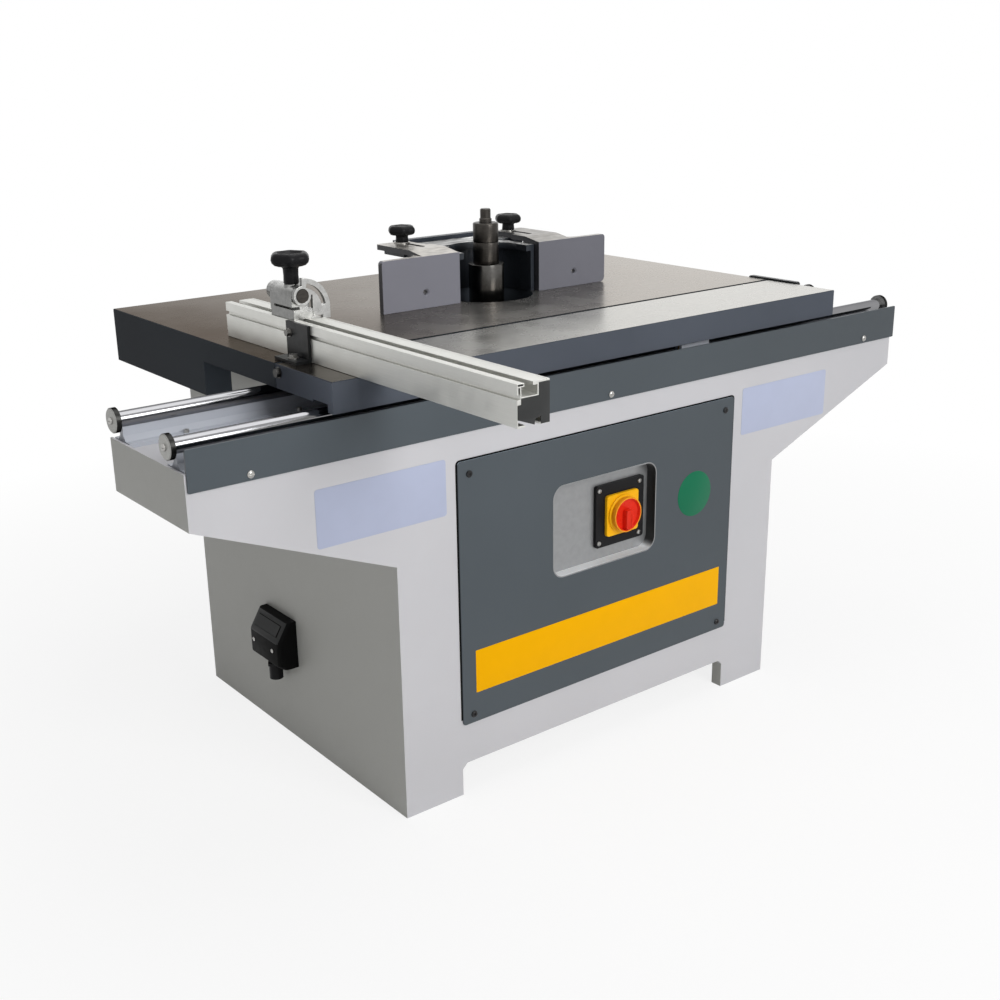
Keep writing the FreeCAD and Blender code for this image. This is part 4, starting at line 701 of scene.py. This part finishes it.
def makeKnob(name, look, spot):
    # a turned knob whose rim is drawn in between the lobes
    foot = (*spot, look["foot"])
    knob = turned(name, look["profile"], foot, (0, 0, 1), 96)
    middle = place(*foot)
    rimFoot = middle.z + look["profile"][6][1] / 1000
    for lobe in range(look["lobes"]):
        turn = math.tau * (lobe + 0.5) / look["lobes"]
        way = Vector((math.cos(turn), math.sin(turn), 0))

        def inGap(spot, normal):
            arm = Vector((spot.x - middle.x, spot.y - middle.y, 0))
            return arm.length > look["rim"] / 1000 and arm.angle(way) < math.radians(3) and spot.z > rimFoot

        pick(knob, "VERT", inGap)
        bpy.ops.transform.translate(value=-way * (look["gap"] / 1000), use_proportional_edit=True,
                                    proportional_edit_falloff="SMOOTH",
                                    proportional_size=look["reach"] / 1000)
    return knob


for side, spot in clampKnobLook["spots"].items():
    knob = makeKnob(side + "ClampKnob", clampKnobLook, spot)
    finishPiece(knob, ["blackPlastic"], side + "_clamp_knob", [side + "_clamp_knob"], 50)
knob = makeKnob("stopKnob", stopKnobLook, stopKnobLook["spot"])
finishPiece(knob, ["blackPlastic"], "stop_knob", ["stop_knob"], 50)
print("stage: knobs")

# switch: yellow surround and red handle with an orange rim

switchLook = {"middle": (42.5, 436), "half": 39, "plateFront": 7, "plateBack": 13, "dial": 36, "foot": 2.7,
              "rim": 33, "rimFront": -7.5, "dishFloor": -1.2, "rimWidth": 2.6, "barHalf": 8, "barTop": 10,
              "barBottom": -27, "barFront": -12.5}


def makeSurround(look):
    x, z = look["middle"]
    half = look["half"]
    plate = newBlock("switchSurround", (x - half, look["plateFront"], z - half),
                     (x + half, look["plateBack"], z + half))
    bevelEdges(plate, lambda middle, way: abs(way.y) > 0.9, 6, 4)
    front = place(0, look["plateFront"], 0).y
    bevelEdges(plate, lambda middle, way: abs(middle.y - front) < 1e-5, 1.2, 3)
    radius = look["dial"]
    dial = turned("switchDial", [(0, 0), (radius, 0), (radius, 3.2), (radius - 1, 4), (0, 4)],
                  (x, look["plateFront"], z), (0, -1, 0), 72)
    return joinPieces("switchSurround", [plate, dial])


def makeHandle(look):
    x, z = look["middle"]
    rim, width, foot = look["rim"], look["rimWidth"], look["foot"]
    tall = foot - look["rimFront"]
    floor = foot - look["dishFloor"]
    inner = rim - width
    profile = [(0, 0), (rim - 2, 0), (rim - 0.6, 1.2), (rim, tall - 1), (rim - 0.6, tall), (inner, tall),
               (inner - 0.8, tall - 0.8), (inner - 2.4, floor + 0.8), (inner - 4, floor), (0, floor)]
    skirt = turned("switchHandle", profile, (x, foot, z), (0, -1, 0), 72)
    giveFinishes(skirt, ["redPlastic", "orangePlastic"])
    centre = place(x, 0, z)

    def onRim(middle, normal):
        return Vector((middle.x - centre.x, middle.z - centre.z)).length > (inner - 0.4) / 1000

    paintFaces(skirt, onRim, 1)
    half = look["barHalf"]
    bar = newBlock("gripBar", (x - half, look["barFront"], z + look["barBottom"]),
                   (x + half, look["dishFloor"] + 1, z + look["barTop"]))
    giveFinishes(bar, ["redPlastic", "orangePlastic"])
    bevelEdges(bar, lambda middle, way: abs(way.y) > 0.9, 4, 4)
    front = place(0, look["barFront"], 0).y
    bevelEdges(bar, lambda middle, way: abs(middle.y - front) < 1e-5, 1.6, 3)
    pick(bar, "FACE", lambda middle, normal: normal.y < -0.9)
    bpy.ops.mesh.inset(thickness=0.003, depth=-0.0012)
    return joinPieces("switchHandle", [skirt, bar])


finishPiece(makeSurround(switchLook), ["yellowPlastic"], "machine", ["switch_surround"], 40)
finishPiece(makeHandle(switchLook), [], "switch_handle", ["switch_handle"], 40)
print("stage: switch")

# plain plates: front strip, round badge and the two blank plates on the wings

plateLook = {
    "frontStrip": {"low": (-306, 190), "high": (295, 269), "front": -2.5, "thick": 0.5, "corner": 1.5,
                   "finish": "yellowFilm", "slot": "yellow_plastic"},
    "leftPlate": {"low": (-599, 524), "high": (-357, 619), "front": 0, "thick": 0.5, "corner": 5,
                  "finish": "paleFilm", "slot": "grey_paint"},
    "rightPlate": {"low": (344, 527), "high": (590, 619), "front": 0, "thick": 0.5, "corner": 5,
                   "finish": "paleFilm", "slot": "grey_paint"},
}
badgeLook = {"middle": (218, 437), "radius": 44, "front": -2.5, "thick": 0.5, "edge": (0.3, 0.2)}


def makePlate(name, look):
    (x0, z0), (x1, z1) = look["low"], look["high"]
    plate = newBlock(name, (x0, look["front"] - look["thick"], z0), (x1, look["front"], z1))
    bevelEdges(plate, lambda middle, way: abs(way.y) > 0.9, look["corner"], 5)
    front = place(0, look["front"] - look["thick"], 0).y
    bevelEdges(plate, lambda middle, way: abs(middle.y - front) < 1e-6, 0.2, 2)
    return plate


def makeBadge(look):
    x, z = look["middle"]
    radius, thick = look["radius"], look["thick"]
    inward, down = look["edge"]
    profile = [(0, 0), (radius, 0), (radius, thick - down), (radius - inward, thick), (0, thick)]
    return turned("roundBadge", profile, (x, look["front"], z), (0, -1, 0), 72)


for name, look in plateLook.items():
    finishPiece(makePlate(name, look), [look["finish"]], "machine")
finishPiece(makeBadge(badgeLook), ["greenFilm"], "machine")
print("stage: plates")

# dark strip that shows round the top and sides of the front panel: painted shade standing in for the shadow
# gap there

panelShadowLook = {"low": (-335, 135), "high": (318, 609), "wide": 2.8, "gap": 0.1, "thick": 0.8, "corner": 8,
            "end": 145}


def makeShadowStrip(look):
    wide = look["wide"]
    (x0, z0), (x1, z1) = look["low"], look["high"]
    shadowStrip = newBlock("panelShadowStrip", (x0 - wide, -look["thick"], z0 - wide), (x1 + wide, 0, z1 + wide))
    bevelEdges(shadowStrip, lambda middle, way: abs(way.y) > 0.9, look["corner"], 6)
    pick(shadowStrip, "FACE", lambda middle, normal: abs(normal.y) > 0.9)
    bpy.ops.mesh.inset(thickness=(wide - look["gap"]) / 1000, depth=0)
    bpy.ops.mesh.bridge_edge_loops()
    bpy.ops.mesh.select_all(action="SELECT")
    bpy.ops.mesh.bisect(plane_co=place(0, 0, look["end"]), plane_no=(0, 0, -1), use_fill=True,
                        clear_outer=True)
    return shadowStrip


# painted shade: the dark strip stands in for the shadow gap round the panel
finishPiece(makeShadowStrip(panelShadowLook), ["inletPlastic"], "machine")
print("stage: panel seal")

# inlet box with a sloped lid

inletLook = {"front": 345, "back": 454, "bottom": 156, "top": 248, "wall": -457, "tip": -497,
             "ridge": 212, "brow": -475, "chin": 165, "chinEdge": -485, "corner": 7, "edge": 2.2,
             "lid": 7, "lidStep": (1.2, 1.6)}


def makeInletBox(look):
    box = newBlock("inletBox", (look["tip"], look["front"], look["bottom"]),
                   (look["wall"], look["back"], look["top"]))
    slopes = (((look["tip"], look["ridge"]), (look["brow"], look["top"])),
              ((look["chinEdge"], look["bottom"]), (look["tip"], look["chin"])))
    for (x0, z0), (x1, z1) in slopes:
        bpy.ops.object.mode_set(mode="EDIT")
        bpy.ops.mesh.select_all(action="SELECT")
        outward = Vector((z0 - z1, 0, x1 - x0)).normalized()
        bpy.ops.mesh.bisect(plane_co=place(x0, look["front"], z0), plane_no=outward, use_fill=True,
                            clear_outer=True)
    wall = look["wall"] / 1000
    bevelEdges(box, lambda middle, way: abs(way.y) < 0.1 and middle.x < wall - 0.001
               and not (abs(way.x) > 0.9), look["corner"], 3)
    bevelEdges(box, lambda middle, way: abs(way.y) > 0.9 and middle.x < wall - 0.001, look["edge"], 3)
    slope = Vector((look["ridge"] - look["top"], 0, look["brow"] - look["tip"])).normalized()
    pick(box, "FACE", lambda middle, normal: normal.dot(slope) > 0.999)
    bpy.ops.mesh.inset(thickness=look["lid"] / 1000, depth=0)
    inward, rise = look["lidStep"]
    bpy.ops.mesh.inset(thickness=inward / 1000, depth=rise / 1000)
    giveFinishes(box, ["inletPlastic", "greyPlastic"])
    paintFaces(box, lambda middle, normal: normal.dot(slope) > 0.9, 1)
    return box


finishPiece(makeInletBox(inletLook), [], "machine", ["inlet_box"], 30)
print("stage: inlet box")

# pan screws: one head with a slot, copied to every place

screwLook = {
    "slot": 1.2, "deep": 1.3,
    "sets": [
        {"radius": 6, "tall": 3.5, "way": (0, -1, 0), "slotWay": (1, 0, 0),
         "seats": [(-702, -3, 666.5), (0, -3, 666.5), (702, -3, 666.5)]},
        {"radius": 5.5, "tall": 4, "way": (-1, 0, 0), "slotWay": (0, 1, 0),
         "seats": [(-809.5, 41, 717.5), (-809.5, 227, 717.5)]},
        {"radius": 5.5, "tall": 4, "way": (1, 0, 0), "slotWay": (0, 1, 0),
         "seats": [(809.5, 41, 717.5), (809.5, 227, 717.5)]},
        {"radius": 4.5, "tall": 3, "way": (0, -1, 0), "slotWay": (0, 0, 1),
         "seats": [(-11, 13, 387), (-11, 13, 487), (88, 13, 387), (88, 13, 487)]},
        {"radius": 4, "tall": 2.5, "way": (-1, 0, 0), "slotWay": (0, 0, 1),
         "seats": [(-497, 369, 192), (-497, 438, 192)]},
    ],
}


def makeScrew(look):
    radius, tall, seat = look["radius"], look["tall"], look["seats"][0]
    way, slotWay = Vector(look["way"]), Vector(look["slotWay"])
    profile = [(0, -3), (radius * 0.5, -3), (radius * 0.5, 0), (radius, 0), (radius, tall * 0.35),
               (radius * 0.82, tall * 0.75), (radius * 0.45, tall * 0.96), (0, tall)]
    head = turned("panScrew", profile, seat, way, 28)
    top = Vector(seat) + way * tall
    reach = way * screwLook["deep"] + slotWay * (radius * 1.5)
    wide = way.cross(slotWay) * (screwLook["slot"] / 2)
    corners = [top + reach + wide, top - reach - wide]
    low = [min(a, b) for a, b in zip(*corners)]
    high = [max(a, b) for a, b in zip(*corners)]
    cutWith(head, newBlock("screwSlot", low, high))
    return head


def makePanScrews(looks):
    screws = []
    for look in looks:
        first = makeScrew(look)
        start = Vector(look["seats"][0])
        screws.append(first)
        screws += [copyTo(first, "panScrew", Vector(seat) - start) for seat in look["seats"][1:]]
    return joinPieces("panScrews", screws)


finishPiece(makePanScrews(screwLook["sets"]), ["zinc"], "machine", ["pan_screws"], 35)
print("stage: pan screws")

# dark plate in the hollow of the crosscut fence's front end: painted shade standing in for the unlit inside
# of the hollow

hollowShadeLook = {"front": -374, "thick": 0.8, "edge": 0.3,
           "outline": [(-510.4, 787.9), (-510.4, 806.7), (-504.2, 807.3), (-504.2, 815.4), (-474.7, 815.4),
                       (-474.7, 831.8), (-457.0, 832.0), (-457.0, 776.9), (-472.1, 776.9), (-472.1, 787.4),
                       (-481.2, 785.4), (-482.7, 777.6)]}


def makeHollowShade(look):
    shadePlate = drawLine("barHollowShade", [place(x, look["front"], z) for x, z in look["outline"]])
    bpy.ops.mesh.edge_face_add()
    bpy.ops.mesh.extrude_region_move(TRANSFORM_OT_translate={"value": (0, -look["thick"] / 1000, 0)})
    bpy.ops.mesh.select_all(action="SELECT")
    bpy.ops.mesh.normals_make_consistent(inside=False)
    front = place(0, look["front"] - look["thick"], 0).y
    bevelEdges(shadePlate, lambda middle, way: abs(middle.y - front) < 1e-6, look["edge"], 2)
    return shadePlate


# painted shade: the dark plate stands in for the shade inside the hollow
finishPiece(makeHollowShade(hollowShadeLook), ["greyPlastic"], "crosscut_fence")
print("stage: fence end plate")

# floor

floorLook = {"size": 60, "shade": (0.93, 0.93, 0.93), "lift": 0.84, "near": 0.9, "far": 2.2}


def makeFloor(look):
    # the camera sees white far out, and the part's soft shadow close in
    clearSelection()
    bpy.ops.mesh.primitive_plane_add(size=look["size"], location=(0, 0, -0.0005))
    floor = bpy.context.object
    floor.name = "studioFloor"
    finish = Finish("studioFloor")
    grain = shades(look["shade"], 0.99, 1.01)
    finish.colour(finish.ramp(finish.noise(2, 2), [(0.4, grain[0]), (0.6, grain[1])]))
    finish.set(Roughness=0.9, Specular_IOR_Level=0.1)
    reach = finish.add("ShaderNodeVectorMath", operation="LENGTH")
    finish.link(finish.coords, reach.inputs[0])
    white = finish.span(reach.outputs["Value"], look["lift"], 1, look["near"], look["far"])
    path = finish.add("ShaderNodeLightPath")
    looked = finish.add("ShaderNodeMath", operation="MAXIMUM")
    finish.link(path.outputs["Is Camera Ray"], looked.inputs[0])
    finish.link(path.outputs["Is Glossy Ray"], looked.inputs[1])
    seen = finish.add("ShaderNodeMath", operation="MULTIPLY")
    finish.link(white, seen.inputs[0])
    finish.link(looked.outputs[0], seen.inputs[1])
    glow = finish.add("ShaderNodeEmission")
    glow.inputs["Color"].default_value = (1, 1, 1, 1)
    blend = finish.add("ShaderNodeMixShader")
    finish.link(seen.outputs[0], blend.inputs[0])
    finish.link(finish.shader.outputs[0], blend.inputs[1])
    finish.link(glow.outputs[0], blend.inputs[2])
    finish.link(blend.outputs[0], finish.output.inputs["Surface"])
    floor.data.materials.append(finish.material)


makeFloor(floorLook)
